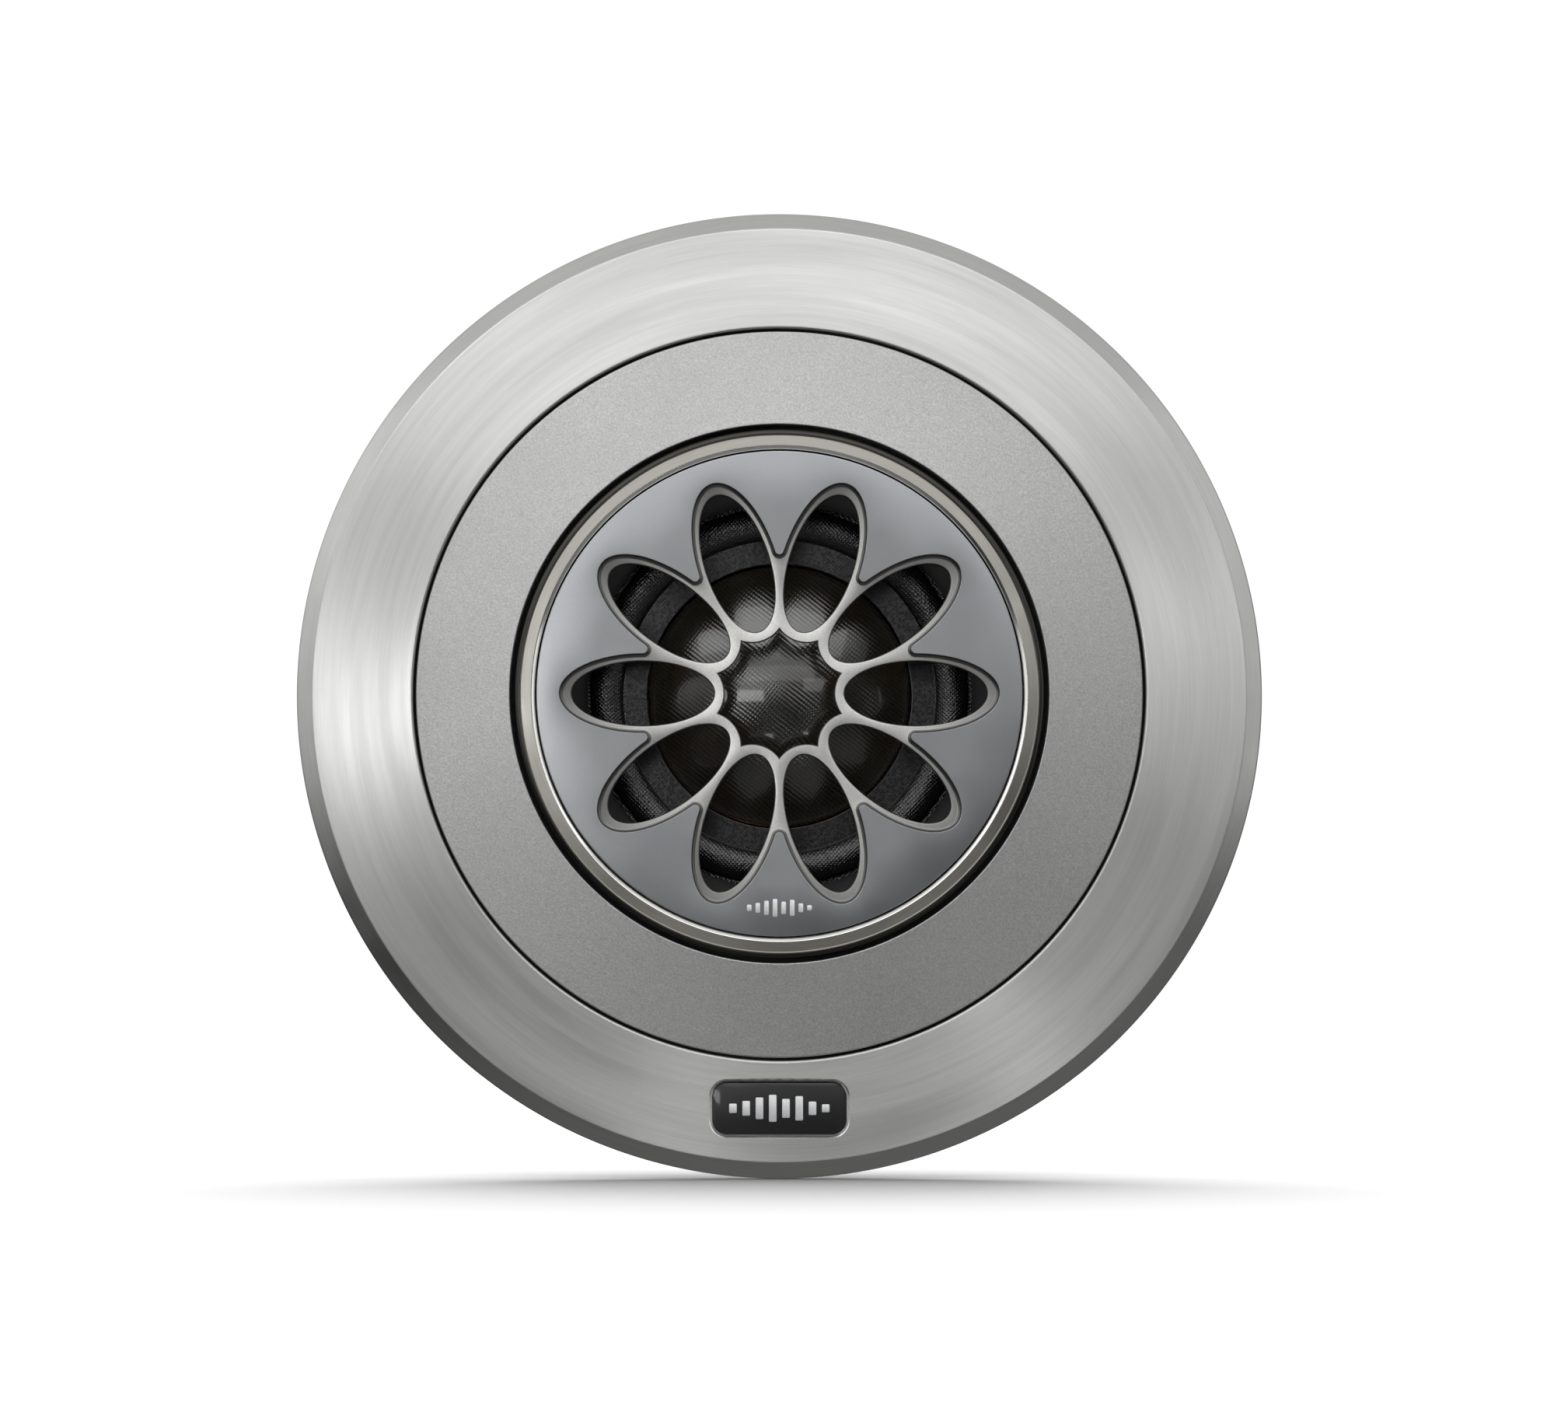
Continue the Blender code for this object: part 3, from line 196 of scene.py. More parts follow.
class BezelSettings(bpy.types.PropertyGroup):
    """The capsule's polished ring round the grille."""

    shoulder: length("Shoulder", 0.55 * MM, "Width of the raised and rounded outer edge")
    ledge_height: length("Ledge height", 4.8 * MM, "Height of the ledge under the grille")
    lip_width: length("Lip width", 0.4 * MM, "Width of the bright inner bevel")
    band_drop: length("Band drop", 0.15 * MM, "How far the flat band falls towards the shoulder")
    metal: colour("Metal", (0.60, 0.585, 0.53), "Colour of the polished metal")
    # painted highlight: the inner lip is coloured far lighter than the band
    lip_highlight: colour("Lip", (0.93, 0.92, 0.88), "Colour of the bright inner bevel")


class GrilleSettings(bpy.types.PropertyGroup):
    """The flower grille."""

    petals: bpy.props.IntProperty(name="Petals", description="Number of petals", default=10, min=5)
    petal_inner: length("Petal start", 6.97 * MM, "From the axis to where a petal starts")
    petal_half_width: length("Petal half width", 3.45 * MM, "Half the width of a petal opening")
    pocket_rim: length("Pocket rim", 2.47 * MM, "Flat face outside the flower pocket")
    end_margin: length("End margin", 1.26 * MM, "From a petal's outer end to the pocket's wall")
    side_margin: length("Side margin", 0.75 * MM, "From a petal's side to the pocket's wall")
    notch: length("Notch", 0.54 * MM, "Rounding of the wall between two petals")
    star_inner: length("Star scallop", 5.84 * MM, "From the axis to the nearest point of a scallop")
    star_tip: length("Star tip", 6.83 * MM, "From the axis to the star's points")
    pocket_depth: length("Pocket depth", 0.8 * MM, "Depth of the flower pocket")
    wall_edge: length("Wall edge", 0.10 * MM, "Rounding of the pocket's upper edge")
    fillet: length("Fillet", 0.42 * MM, "Hollow rounding at the foot of the pocket's wall")
    lip: length("Lip", 0.16 * MM, "Rounding of the openings' edges")
    face_metal: colour("Face", (0.40, 0.41, 0.425), "Colour of the satin face")
    web_metal: colour("Web", (0.80, 0.795, 0.77), "Colour of the machined web")
    mark_place: length("Mark place", 22.95 * MM, "From the axis down to the small level bars")
    mark_metal: colour("Mark", (0.86, 0.86, 0.85), "Colour of the small level bars")


class DiaphragmSettings(bpy.types.PropertyGroup):
    """The cloth dome and its surround."""

    dome_rise: length("Dome rise", 5.0 * MM, "From the dome's rim to its crown")
    dome_cloth: length("Dome cloth", 0.35 * MM, "Thickness of the coated dome cloth")
    surround_depth: length(
        "Surround depth", 5.15 * MM, "From the waveguide's front to the surround's collar"
    )
    collar: length("Collar", 2.55 * MM, "Flat width of the surround inside its roll")
    roll: length("Roll", 3.6 * MM, "Width of the surround's roll")
    roll_rise: length("Roll rise", 1.5 * MM, "Height of the surround's roll")
    surround_cloth: length("Surround cloth", 0.3 * MM, "Thickness of the surround's cloth")
    thread: length("Thread pitch", 0.42 * MM, "Distance between threads of the cloth")
    dome_colour: colour("Dome", (0.016, 0.015, 0.010), "Colour of the dome's cloth")
    surround_colour: colour("Surround", (0.002, 0.002, 0.002), "Colour of the surround's cloth")


class MountingSettings(bpy.types.PropertyGroup):
    """The cup, its gasket and the panel nut."""

    neck_wall: length("Neck wall", 3.2 * MM, "Wall of the cup's neck")
    flange: length("Flange", 1.5 * MM, "Thickness of the cup's flange")
    lobes: bpy.props.IntProperty(name="Nut lobes", description="Lobes round the nut", default=10)
    lobe_height: length("Lobe height", 1.2 * MM, "Height of the nut's lobes")
    plastic: colour("Plastic", (0.018, 0.018, 0.019), "Colour of the moulded nylon")
    rubber: colour("Rubber", (0.010, 0.010, 0.010), "Colour of the rubber")


class MetalworkSettings(bpy.types.PropertyGroup):
    """The capsule's body, motor, screws and terminals."""

    anodised: colour("Anodised", (0.016, 0.016, 0.018), "Colour of the black anodised metal")
    zinc: colour("Zinc", (0.62, 0.63, 0.64), "Colour of the zinc plate")
    nickel: colour("Nickel", (0.70, 0.68, 0.63), "Colour of the magnet's nickel plate")
    copper: colour("Copper", (0.72, 0.30, 0.13), "Colour of the lacquered copper wire")
    tin: colour("Tin", (0.78, 0.77, 0.73), "Colour of the tinned brass")
    felt: colour("Felt", (0.20, 0.20, 0.195), "Colour of the damping felt")
    board: colour("Board", (0.055, 0.042, 0.028), "Colour of the fibre board")
    socket: length("Key socket", 0.7 * MM, "Radius of the screws' hexagonal sockets")
    socket_depth: length("Socket depth", 0.45 * MM, "Depth of the screws' hexagonal sockets")


class StageSettings(bpy.types.PropertyGroup):
    """Camera, lights and floor."""

    distance: length("Distance", 650 * MM, "From the camera to the panel's plane")
    elevation: bpy.props.FloatProperty(
        name="Elevation", description="Height of the camera over the tweeter's axis",
        default=math.radians(-2.2), subtype="ANGLE", unit="ROTATION",
    )
    focal_length: bpy.props.FloatProperty(
        name="Focal length", description="Focal length of the lens", default=138.05, min=10.0,
        unit="CAMERA",
    )
    floor: colour("Floor", (0.46, 0.46, 0.46), "Colour of the floor")
    floor_reach: length("Floor reach", 450 * MM, "From the tweeter's axis to the floor's edges")
    brightness: bpy.props.FloatProperty(
        name="Brightness", description="Strength of every lamp", default=1.0, min=0.0
    )


# ---- Shape tools ----------------------------------------------------------------------------
def section(corners):
    """A closed cross-section from (distance, height, rounding) corners, as loose edges."""
    shape = bmesh.new()
    points = [shape.verts.new((distance, -height, 0.0)) for distance, height, _ in corners]
    shape.faces.new(points)
    for rounding in sorted({corner[2] for corner in corners} - {0}):
        chosen = [point for point, corner in zip(points, corners) if corner[2] == rounding]
        bmesh.ops.bevel(
            shape, geom=chosen, offset=rounding, offset_type="OFFSET", segments=ROUND_STEPS,
            profile=0.5, affect="VERTICES", material=-1,
        )
    bmesh.ops.delete(shape, geom=shape.faces[:], context="FACES_ONLY")
    on_axis = [edge for edge in shape.edges if max(v.co.x for v in edge.verts) < WELD_DISTANCE]
    bmesh.ops.delete(shape, geom=on_axis, context="EDGES")
    return shape


def add_holding_points(shape):
    """Splits each long edge of a cross-section close to both its ends."""
    for edge in [e for e in shape.edges if e.calc_length() > SHORTEST_FLAT]:
        start, end = edge.verts
        _, made = bmesh.utils.edge_split(edge, start, HOLD_DISTANCE / edge.calc_length())
        rest = next(e for e in made.link_edges if end in e.verts)
        bmesh.utils.edge_split(rest, end, HOLD_DISTANCE / rest.calc_length())


def turn(shape, steps=RING_STEPS, at=(0.0, 0.0)):
    """Turns a cross-section into a body round the Y axis, then moves it to its place."""
    add_holding_points(shape)
    bmesh.ops.spin(
        shape, geom=shape.verts[:] + shape.edges[:], cent=(0, 0, 0), axis=(0, 1, 0),
        dvec=(0, 0, 0), angle=FULL_TURN, steps=steps, use_merge=True,
    )
    weld(shape)
    bmesh.ops.translate(shape, verts=shape.verts[:], vec=(at[0], 0.0, at[1]))
    return shape


def weld(shape):
    bmesh.ops.remove_doubles(shape, verts=shape.verts[:], dist=WELD_DISTANCE)
    bmesh.ops.recalc_face_normals(shape, faces=shape.faces[:])


def plain_ring(inner, outer, behind, ahead, rounding):
    return section(
        [
            (inner, ahead, rounding), (outer, ahead, rounding),
            (outer, behind, rounding), (inner, behind, rounding),
        ]
    )


def disc(outer, behind, ahead, rounding):
    """The cross-section of a solid disc."""
    return section(
        [(0.0, ahead, 0), (outer, ahead, rounding), (outer, behind, rounding), (0.0, behind, 0)]
    )


def bar(width, depth, behind, ahead, corner, edge, at=(0.0, 0.0), segments=8):
    """A flat bar or plate with round corners and a rounded edge in front."""
    shape = bmesh.new()
    placed = Matrix.Translation((at[0], -behind, at[1])) @ Matrix.Rotation(math.pi / 2, 4, "X")
    sized = placed @ Matrix.Diagonal((width / 2, depth / 2, 1.0, 1.0))
    bmesh.ops.create_grid(shape, x_segments=1, y_segments=1, size=1.0, matrix=sized)
    if corner:
        bmesh.ops.bevel(
            shape, geom=shape.verts[:], offset=corner, offset_type="OFFSET", segments=segments,
            profile=0.5, affect="VERTICES", material=-1,
        )
    raised = bmesh.ops.extrude_face_region(shape, geom=shape.faces[:])["geom"]
    top = [item for item in raised if isinstance(item, bmesh.types.BMVert)]
    bmesh.ops.translate(shape, verts=top, vec=(0.0, behind - ahead, 0.0))
    if edge:
        lips = [e for e in raised if isinstance(e, bmesh.types.BMEdge)]
        bmesh.ops.bevel(
            shape, geom=lips, offset=edge, offset_type="OFFSET", segments=3, profile=0.5,
            affect="EDGES", material=-1,
        )
    weld(shape)
    return shape


def joined(*shapes):
    """Several separate bodies in one bmesh."""
    whole = bmesh.new()
    for shape in shapes:
        mesh = as_mesh("joined", shape)
        whole.from_mesh(mesh)
        bpy.data.meshes.remove(mesh)
    return whole


def as_mesh(name, shape):
    mesh = bpy.data.meshes.new(name)
    shape.to_mesh(mesh)
    shape.free()
    return mesh


def cut_from(shape, cutter):
    """The first shape with the second taken out of it."""
    body = bpy.data.objects.new("body", as_mesh("body", shape))
    tool = bpy.data.objects.new("tool", as_mesh("tool", cutter))
    for obj in (body, tool):
        bpy.context.scene.collection.objects.link(obj)
    boolean = body.modifiers.new("opening", "BOOLEAN")
    boolean.operation = "DIFFERENCE"
    boolean.solver = "EXACT"
    boolean.object = tool
    bpy.context.view_layer.update()
    result = bmesh.new()
    result.from_object(body, bpy.context.evaluated_depsgraph_get())
    for obj in (body, tool):
        mesh = obj.data
        bpy.data.objects.remove(obj)
        bpy.data.meshes.remove(mesh)
    if not result.faces:
        raise RuntimeError("a cut left nothing")
    return result


def lay_turning_map(shape):
    """A UV map whose U runs round the axis, so that brushing follows the lathe."""
    layer = shape.loops.layers.uv.new("turning")
    for face in shape.faces:
        centre = face.calc_center_median()
        heading = math.atan2(centre.z, centre.x)
        for loop in face.loops:
            point = loop.vert.co
            lean = math.remainder(math.atan2(point.z, point.x) - heading, FULL_TURN)
            along = math.hypot(point.x, point.z) + 0.6 * point.y
            loop[layer].uv = ((heading + lean) / FULL_TURN, along / (50 * MM))


def finish_piece(name, shape, finishes, nodes, body=FIXED_BODY, slot=None):
    """Turns a bmesh into a finished piece that rides on its body and stands for its CAD nodes."""
    for face in shape.faces:
        face.smooth = abs(face.normal.y) < 0.99999
    lay_turning_map(shape)
    mesh = as_mesh(name, shape)
    for finish in finishes:
        mesh.materials.append(finish)
    mesh.set_sharp_from_angle(angle=SHARP_ANGLE)
    obj = bpy.data.objects.new(name, mesh)
    bpy.context.scene.collection.objects.link(obj)
    if body:
        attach(obj, body)
    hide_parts(*nodes)
    slot or CAD_SLOTS[nodes[0]]
    return obj


def softened_copy(node, edge, finish):
    """A welded copy of a CAD node with its sharp edges rounded."""
    shape = bmesh.new()
    shape.from_mesh(frame["nodes"][node].data)
    weld(shape)
    bmesh.ops.dissolve_limit(
        shape, angle_limit=math.radians(1), verts=shape.verts[:], edges=shape.edges[:]
    )
    sharp = [e for e in shape.edges if e.is_manifold and e.calc_face_angle() > math.radians(40)]
    bmesh.ops.bevel(
        shape, geom=sharp, offset=edge, offset_type="OFFSET", segments=2, profile=0.5,
        affect="EDGES", material=-1, clamp_overlap=True,
    )
    return finish_piece(node + "_finished", shape, [finish], [node])


# ---- Material tools -------------------------------------------------------------------------
def new_finish(name, metallic=0.0, **settings):
    """A new material, its node tree and its shader. Settings name the shader's own sockets."""
    finish = bpy.data.materials.new(name)
    finish.use_nodes = True
    tree = finish.node_tree
    shader = tree.nodes["Principled BSDF"]
    shader.inputs["Metallic"].default_value = metallic
    for socket, value in settings.items():
        shader.inputs[socket.replace("_", " ")].default_value = value
    return finish, tree, shader


def add_node(tree, kind, sockets=None, **settings):
    made = tree.nodes.new(kind)
    for name, value in settings.items():
        setattr(made, name, value)
    for socket, value in (sockets or {}).items():
        if isinstance(value, bpy.types.NodeSocket):
            tree.links.new(value, made.inputs[socket])
        else:
            made.inputs[socket].default_value = value
    return made


def maths(tree, operation, *values):
    return add_node(
        tree, "ShaderNodeMath", dict(enumerate(values)), operation=operation
    ).outputs[0]


def object_point(tree, scale=(1.0, 1.0, 1.0), rotation=(0.0, 0.0, 0.0)):
    point = add_node(tree, "ShaderNodeTexCoord").outputs["Object"]
    sockets = {"Vector": point, "Scale": scale, "Rotation": rotation}
    return add_node(tree, "ShaderNodeMapping", sockets).outputs["Vector"]


def flat_point(tree):
    """The place in the XZ plane, across the axis."""
    point = add_node(tree, "ShaderNodeTexCoord").outputs["Object"]
    return add_node(
        tree, "ShaderNodeVectorMath", {0: point, 1: (1.0, 0.0, 1.0)}, operation="MULTIPLY"
    ).outputs["Vector"]


def axis_distance(tree):
    return add_node(
        tree, "ShaderNodeVectorMath", {0: flat_point(tree)}, operation="LENGTH"
    ).outputs["Value"]


def lathe_point(tree, around, across):
    """Coordinates that change slowly round the axis and fast across it, as turning marks do."""
    heading = add_node(tree, "ShaderNodeVectorMath", {0: flat_point(tree)}, operation="NORMALIZE")
    point = add_node(tree, "ShaderNodeTexCoord").outputs["Object"]
    height = add_node(tree, "ShaderNodeSeparateXYZ", {0: point}).outputs["Y"]
    reach = maths(tree, "MULTIPLY", maths(tree, "ADD", axis_distance(tree), height), across)
    step = add_node(tree, "ShaderNodeCombineXYZ", {"Y": reach}).outputs[0]
    return add_node(
        tree,
        "ShaderNodeVectorMath",
        {0: heading.outputs["Vector"], 1: (around, 0.0, around), 2: step},
        operation="MULTIPLY_ADD",
    ).outputs["Vector"]


def noise(tree, vector, scale=1.0, detail=2.0, roughness=0.5):
    sockets = {"Vector": vector, "Scale": scale, "Detail": detail, "Roughness": roughness}
    return add_node(tree, "ShaderNodeTexNoise", sockets).outputs[0]


def between(tree, value, low, high, start=0.3, end=0.7):
    """The value, from start to end, spread from low to high."""
    sockets = {0: value, 1: start, 2: end, 3: low, 4: high}
    return add_node(tree, "ShaderNodeMapRange", sockets).outputs[0]


def mixed(tree, share_of_second, first, second):
    mix = add_node(tree, "ShaderNodeMix", data_type="RGBA")
    for index, value in ((0, share_of_second), (6, first), (7, second)):
        if isinstance(value, bpy.types.NodeSocket):
            tree.links.new(value, mix.inputs[index])
        elif index:
            mix.inputs[index].default_value = (*value, 1.0)
        else:
            mix.inputs[index].default_value = value
    return mix.outputs[2]


def shaded(tint, amount):
    return tuple(min(1.0, part * amount) for part in tint)


def bump(tree, height, distance, normal=None, strength=1.0):
    sockets = {"Height": height, "Distance": distance, "Strength": strength}
    if normal:
        sockets["Normal"] = normal
    return add_node(tree, "ShaderNodeBump", sockets).outputs[0]


def connect(tree, shader, **sockets):
    for socket, value in sockets.items():
        tree.links.new(value, shader.inputs[socket.replace("_", " ")])


def worn_edges(tree, start=0.53, end=0.62):
    """One on outer edges, where handling polishes a finish, and nought elsewhere."""
    pointiness = add_node(tree, "ShaderNodeNewGeometry").outputs["Pointiness"]
    return between(tree, pointiness, 0.0, 1.0, start, end)


# ---- Finishes -------------------------------------------------------------------------------
def brushed_aluminium(metal, roughness):
    finish, tree, shader = new_finish(
        "brushed_aluminium", 1.0, Anisotropic=0.95, Anisotropic_Rotation=0.25
    )
    hair = noise(tree, lathe_point(tree, 7.0, 11000.0), detail=3.0, roughness=0.65)
    streak = noise(tree, lathe_point(tree, 2.6, 1500.0), detail=4.0, roughness=0.6)
    band = noise(tree, lathe_point(tree, 1.2, 260.0), detail=2.0)
    tint = mixed(tree, between(tree, streak, 0.0, 1.0, 0.25, 0.75), shaded(metal, 0.86), metal)
    tint = mixed(tree, between(tree, hair, 0.16, 0.0, 0.3, 0.7), tint, shaded(metal, 0.45))
    rough = between(tree, band, roughness - 0.05, roughness + 0.05)
    normal = bump(tree, maths(tree, "ADD", hair, streak), 0.004 * MM, strength=0.55)
    tangent = add_node(tree, "ShaderNodeTangent", direction_type="UV_MAP", uv_map="turning")
    connect(
        tree, shader, Base_Color=tint, Roughness=rough, Normal=normal,
        Tangent=tangent.outputs[0],
    )
    return finish


def turned_aluminium(name, metal, roughness, marks=0.003):
    """Fine lathe marks, for rims and edges."""
    finish, tree, shader = new_finish(name, 1.0, Anisotropic=0.35, Anisotropic_Rotation=0.25)
    marked = noise(tree, lathe_point(tree, 5.0, 9000.0), detail=3.0, roughness=0.6)
    cloud = noise(tree, object_point(tree), 140.0, 3.0)
    tint = mixed(tree, between(tree, marked, 0.0, 1.0), shaded(metal, 0.84), metal)
    rough = between(tree, cloud, roughness - 0.04, roughness + 0.05)
    tangent = add_node(tree, "ShaderNodeTangent", direction_type="UV_MAP", uv_map="turning")
    connect(
        tree, shader, Base_Color=tint, Roughness=rough,
        Normal=bump(tree, marked, marks * MM, strength=0.5), Tangent=tangent.outputs[0],
    )
    return finish


def blasted_metal(metal, roughness):
    finish, tree, shader = new_finish("bead_blasted_grey", 1.0)
    grain = noise(tree, object_point(tree), 5200.0, 2.0, 0.6)
    pits = noise(tree, object_point(tree), 12500.0, 1.0)
    cloud = noise(tree, object_point(tree), 60.0, 3.0)
    speck = between(tree, grain, 0.0, 1.0, 0.32, 0.68)
    tint = mixed(tree, speck, shaded(metal, 0.80), shaded(metal, 1.1))
    tint = mixed(tree, between(tree, cloud, 0.0, 0.25, 0.4, 0.7), tint, shaded(metal, 0.9))
    rough = between(tree, cloud, roughness - 0.03, roughness + 0.03)
    normal = bump(tree, grain, 0.018 * MM, strength=0.8)
    normal = bump(tree, pits, 0.006 * MM, normal, 0.6)
    connect(tree, shader, Base_Color=tint, Roughness=rough, Normal=normal)
    return finish


def satin_metal(name, metal, roughness, grain_size=9000.0, depth=0.003):
    """A fine even satin with faint clouds in it."""
    finish, tree, shader = new_finish(name, 1.0)
    grain = noise(tree, object_point(tree), grain_size, 2.0, 0.55)
    cloud = noise(tree, object_point(tree), 110.0, 4.0)
    tint = mixed(tree, between(tree, grain, 0.0, 1.0), shaded(metal, 0.93), shaded(metal, 1.05))
    rough = between(tree, cloud, roughness - 0.035, roughness + 0.035)
    connect(
        tree, shader, Base_Color=tint, Roughness=rough,
        Normal=bump(tree, grain, depth * MM, strength=0.5),
    )
    return finish


def machined_web(metal, shade_start, full_shade_at):
    """Satin web with painted shade: brightest round the star and darkened towards the pocket's
    outer wall, where the wall shades it.
    """
    finish, tree, shader = new_finish("machined_web", 1.0)
    grain = noise(tree, object_point(tree), 5200.0, 2.0, 0.55)
    cloud = noise(tree, object_point(tree), 110.0, 4.0)
    # painted shade: the web's colour darkens from the star out to the pocket's outer wall
    pocket_shade = between(tree, axis_distance(tree), 0.0, 1.0, shade_start, full_shade_at)
    tint = mixed(tree, between(tree, grain, 0.0, 1.0), shaded(metal, 0.90), shaded(metal, 1.05))
    tint = mixed(tree, pocket_shade, tint, shaded(metal, 0.30))
    connect(
        tree, shader, Base_Color=tint, Roughness=between(tree, cloud, 0.32, 0.42),
        Normal=bump(tree, grain, 0.004 * MM, strength=0.5),
    )
    return finish


def black_enamel(tint):
    finish, tree, shader = new_finish("black_enamel", Coat_Weight=0.6, Coat_Roughness=0.08)
    ripple = noise(tree, object_point(tree), 700.0, 2.0)
    dust = noise(tree, object_point(tree), 9000.0, 2.0)
    base = mixed(tree, between(tree, dust, 0.0, 0.5, 0.62, 0.75), tint, (0.05, 0.05, 0.05))
    connect(
        tree, shader, Base_Color=base, Roughness=between(tree, dust, 0.28, 0.42),
        Normal=bump(tree, ripple, 0.006 * MM),
    )
    return finish


def moulded_nylon(tint):
    finish, tree, shader = new_finish("black_nylon", Specular_IOR_Level=0.45)
    spark = noise(tree, object_point(tree), 4200.0, 2.0)
    flow = noise(tree, object_point(tree), 120.0, 4.0)
    base = mixed(tree, between(tree, flow, 0.0, 1.0), tint, shaded(tint, 1.7))
    base = mixed(tree, worn_edges(tree), base, (0.07, 0.07, 0.072))
    connect(
        tree, shader, Base_Color=base, Roughness=between(tree, flow, 0.46, 0.58),
        Normal=bump(tree, spark, 0.012 * MM, strength=0.7),
    )
    return finish


def anodised_metal(tint):
    finish, tree, shader = new_finish("black_anodised", 0.75)
    marks = noise(tree, lathe_point(tree, 4.0, 8000.0), detail=3.0, roughness=0.6)
    cloud = noise(tree, object_point(tree), 150.0, 3.0)
    base = mixed(tree, between(tree, marks, 0.0, 1.0), tint, shaded(tint, 2.2))
    base = mixed(tree, worn_edges(tree), base, (0.16, 0.16, 0.165))
    connect(
        tree, shader, Base_Color=base, Roughness=between(tree, cloud, 0.32, 0.44),
        Normal=bump(tree, marks, 0.004 * MM, strength=0.6),
    )
    return finish


def foam_rubber(tint):
    finish, tree, shader = new_finish("black_rubber", Specular_IOR_Level=0.3)
    cells = add_node(
        tree, "ShaderNodeTexVoronoi", {"Vector": object_point(tree), "Scale": 3600.0}
    ).outputs["Distance"]
    cloud = noise(tree, object_point(tree), 400.0, 3.0)
    base = mixed(tree, between(tree, cells, 0.0, 1.0, 0.0, 0.7), tint, shaded(tint, 2.6))
    connect(
        tree, shader, Base_Color=base, Roughness=between(tree, cloud, 0.78, 0.92),
        Normal=bump(tree, cells, 0.05 * MM, strength=0.7),
    )
    return finish


def wave_scale(pitch):
    """The Wave Texture's scale for bands that far apart."""
    return FULL_TURN / 20 / pitch


def threads(tree, turned, pitch):
    """Bands of thread that far apart, across one direction in the XZ plane."""
    point = object_point(tree, rotation=(0.0, turned, 0.0))
    sockets = {
        "Vector": point, "Scale": wave_scale(pitch), "Distortion": 1.6,
        "Detail": 2.0, "Detail Scale": 0.35,
    }
    return add_node(tree, "ShaderNodeTexWave", sockets, wave_type="BANDS").outputs[1]


def dome_cloth(tint, pitch):
    """Diagonal weave under a thick glossy coating."""
    finish, tree, shader = new_finish(
        "coated_dome_cloth", Specular_IOR_Level=0.9, Coat_Weight=0.7, Coat_Roughness=0.07
    )
    warp = threads(tree, math.radians(52), pitch)
    weft = threads(tree, math.radians(-38), pitch * 0.8)
    grain = noise(tree, object_point(tree), 2600.0, 3.0, 0.6)
    blotch = noise(tree, object_point(tree), 260.0, 3.0)
    weave = maths(tree, "MULTIPLY_ADD", weft, 0.35, warp)
    relief = maths(tree, "MULTIPLY_ADD", grain, 0.25, weave)
    raised = between(tree, weave, 0.0, 1.0, 0.2, 1.2)
    base = mixed(tree, raised, shaded(tint, 0.35), shaded(tint, 1.35))
    base = mixed(tree, between(tree, blotch, 0.0, 0.6, 0.45, 0.7), base, (0.020, 0.012, 0.007))
    normal = bump(tree, relief, 0.020 * MM, strength=0.8)
    connect(
        tree, shader, Base_Color=base, Roughness=between(tree, grain, 0.14, 0.24), Normal=normal
    )
    return finish


def surround_cloth(tint, pitch, roll_starts):
    """Black coated cloth, smooth on its collar and granular on its roll."""
    finish, tree, shader = new_finish("coated_surround_cloth", Specular_IOR_Level=1.0)
    warp = threads(tree, math.radians(45), pitch * 0.7)
    weft = threads(tree, math.radians(-45), pitch * 0.7)
    beads = add_node(
        tree, "ShaderNodeTexVoronoi", {"Vector": object_point(tree), "Scale": 3300.0},
        feature="SMOOTH_F1",
    ).outputs["Distance"]
    relief = maths(tree, "MULTIPLY_ADD", beads, -1.4, maths(tree, "MULTIPLY", warp, weft))
    on_roll = between(
        tree, axis_distance(tree), 0.06, 1.0, roll_starts - 0.1 * MM, roll_starts + 0.5 * MM
    )
    relief = maths(tree, "MULTIPLY", relief, on_roll)
    base = mixed(tree, between(tree, beads, 0.0, 1.0, 0.1, 0.6), shaded(tint, 1.8), tint)
    connect(
        tree, shader, Base_Color=base, Roughness=between(tree, beads, 0.12, 0.26, 0.0, 0.6),
        Normal=bump(tree, relief, 0.045 * MM, strength=0.9),
    )
    return finish


def damping_felt(tint):
    finish, tree, shader = new_finish("grey_felt", Sheen_Weight=0.35, Sheen_Roughness=0.6)
    fibre = noise(tree, object_point(tree, (1.0, 3.0, 0.35)), 3000.0, 4.0, 0.7)
    cross = noise(tree, object_point(tree, (0.35, 3.0, 1.0)), 3000.0, 4.0, 0.7)
    matted = maths(tree, "MAXIMUM", fibre, cross)
    raised = between(tree, matted, 0.0, 1.0, 0.4, 0.75)
    base = mixed(tree, raised, shaded(tint, 0.55), shaded(tint, 1.3))
    connect(
        tree, shader, Base_Color=base, Roughness=between(tree, fibre, 0.88, 1.0),
        Normal=bump(tree, matted, 0.12 * MM),
    )
    return finish


def plated_metal(name, metal, roughness, stain):
    """Plating with faint stains, fine scratches and a polished edge."""
    finish, tree, shader = new_finish(name, 1.0)
    cloud = noise(tree, object_point(tree), 320.0, 4.0, 0.6)
    scratch = noise(tree, object_point(tree, (0.15, 1.0, 1.0)), 9000.0, 2.0)
    base = mixed(tree, between(tree, cloud, 0.0, 0.7), metal, stain)
    base = mixed(tree, worn_edges(tree), base, shaded(metal, 1.25))
    connect(
        tree, shader, Base_Color=base, Normal=bump(tree, scratch, 0.003 * MM),
        Roughness=between(tree, cloud, roughness - 0.05, roughness + 0.10),
    )
    return finish


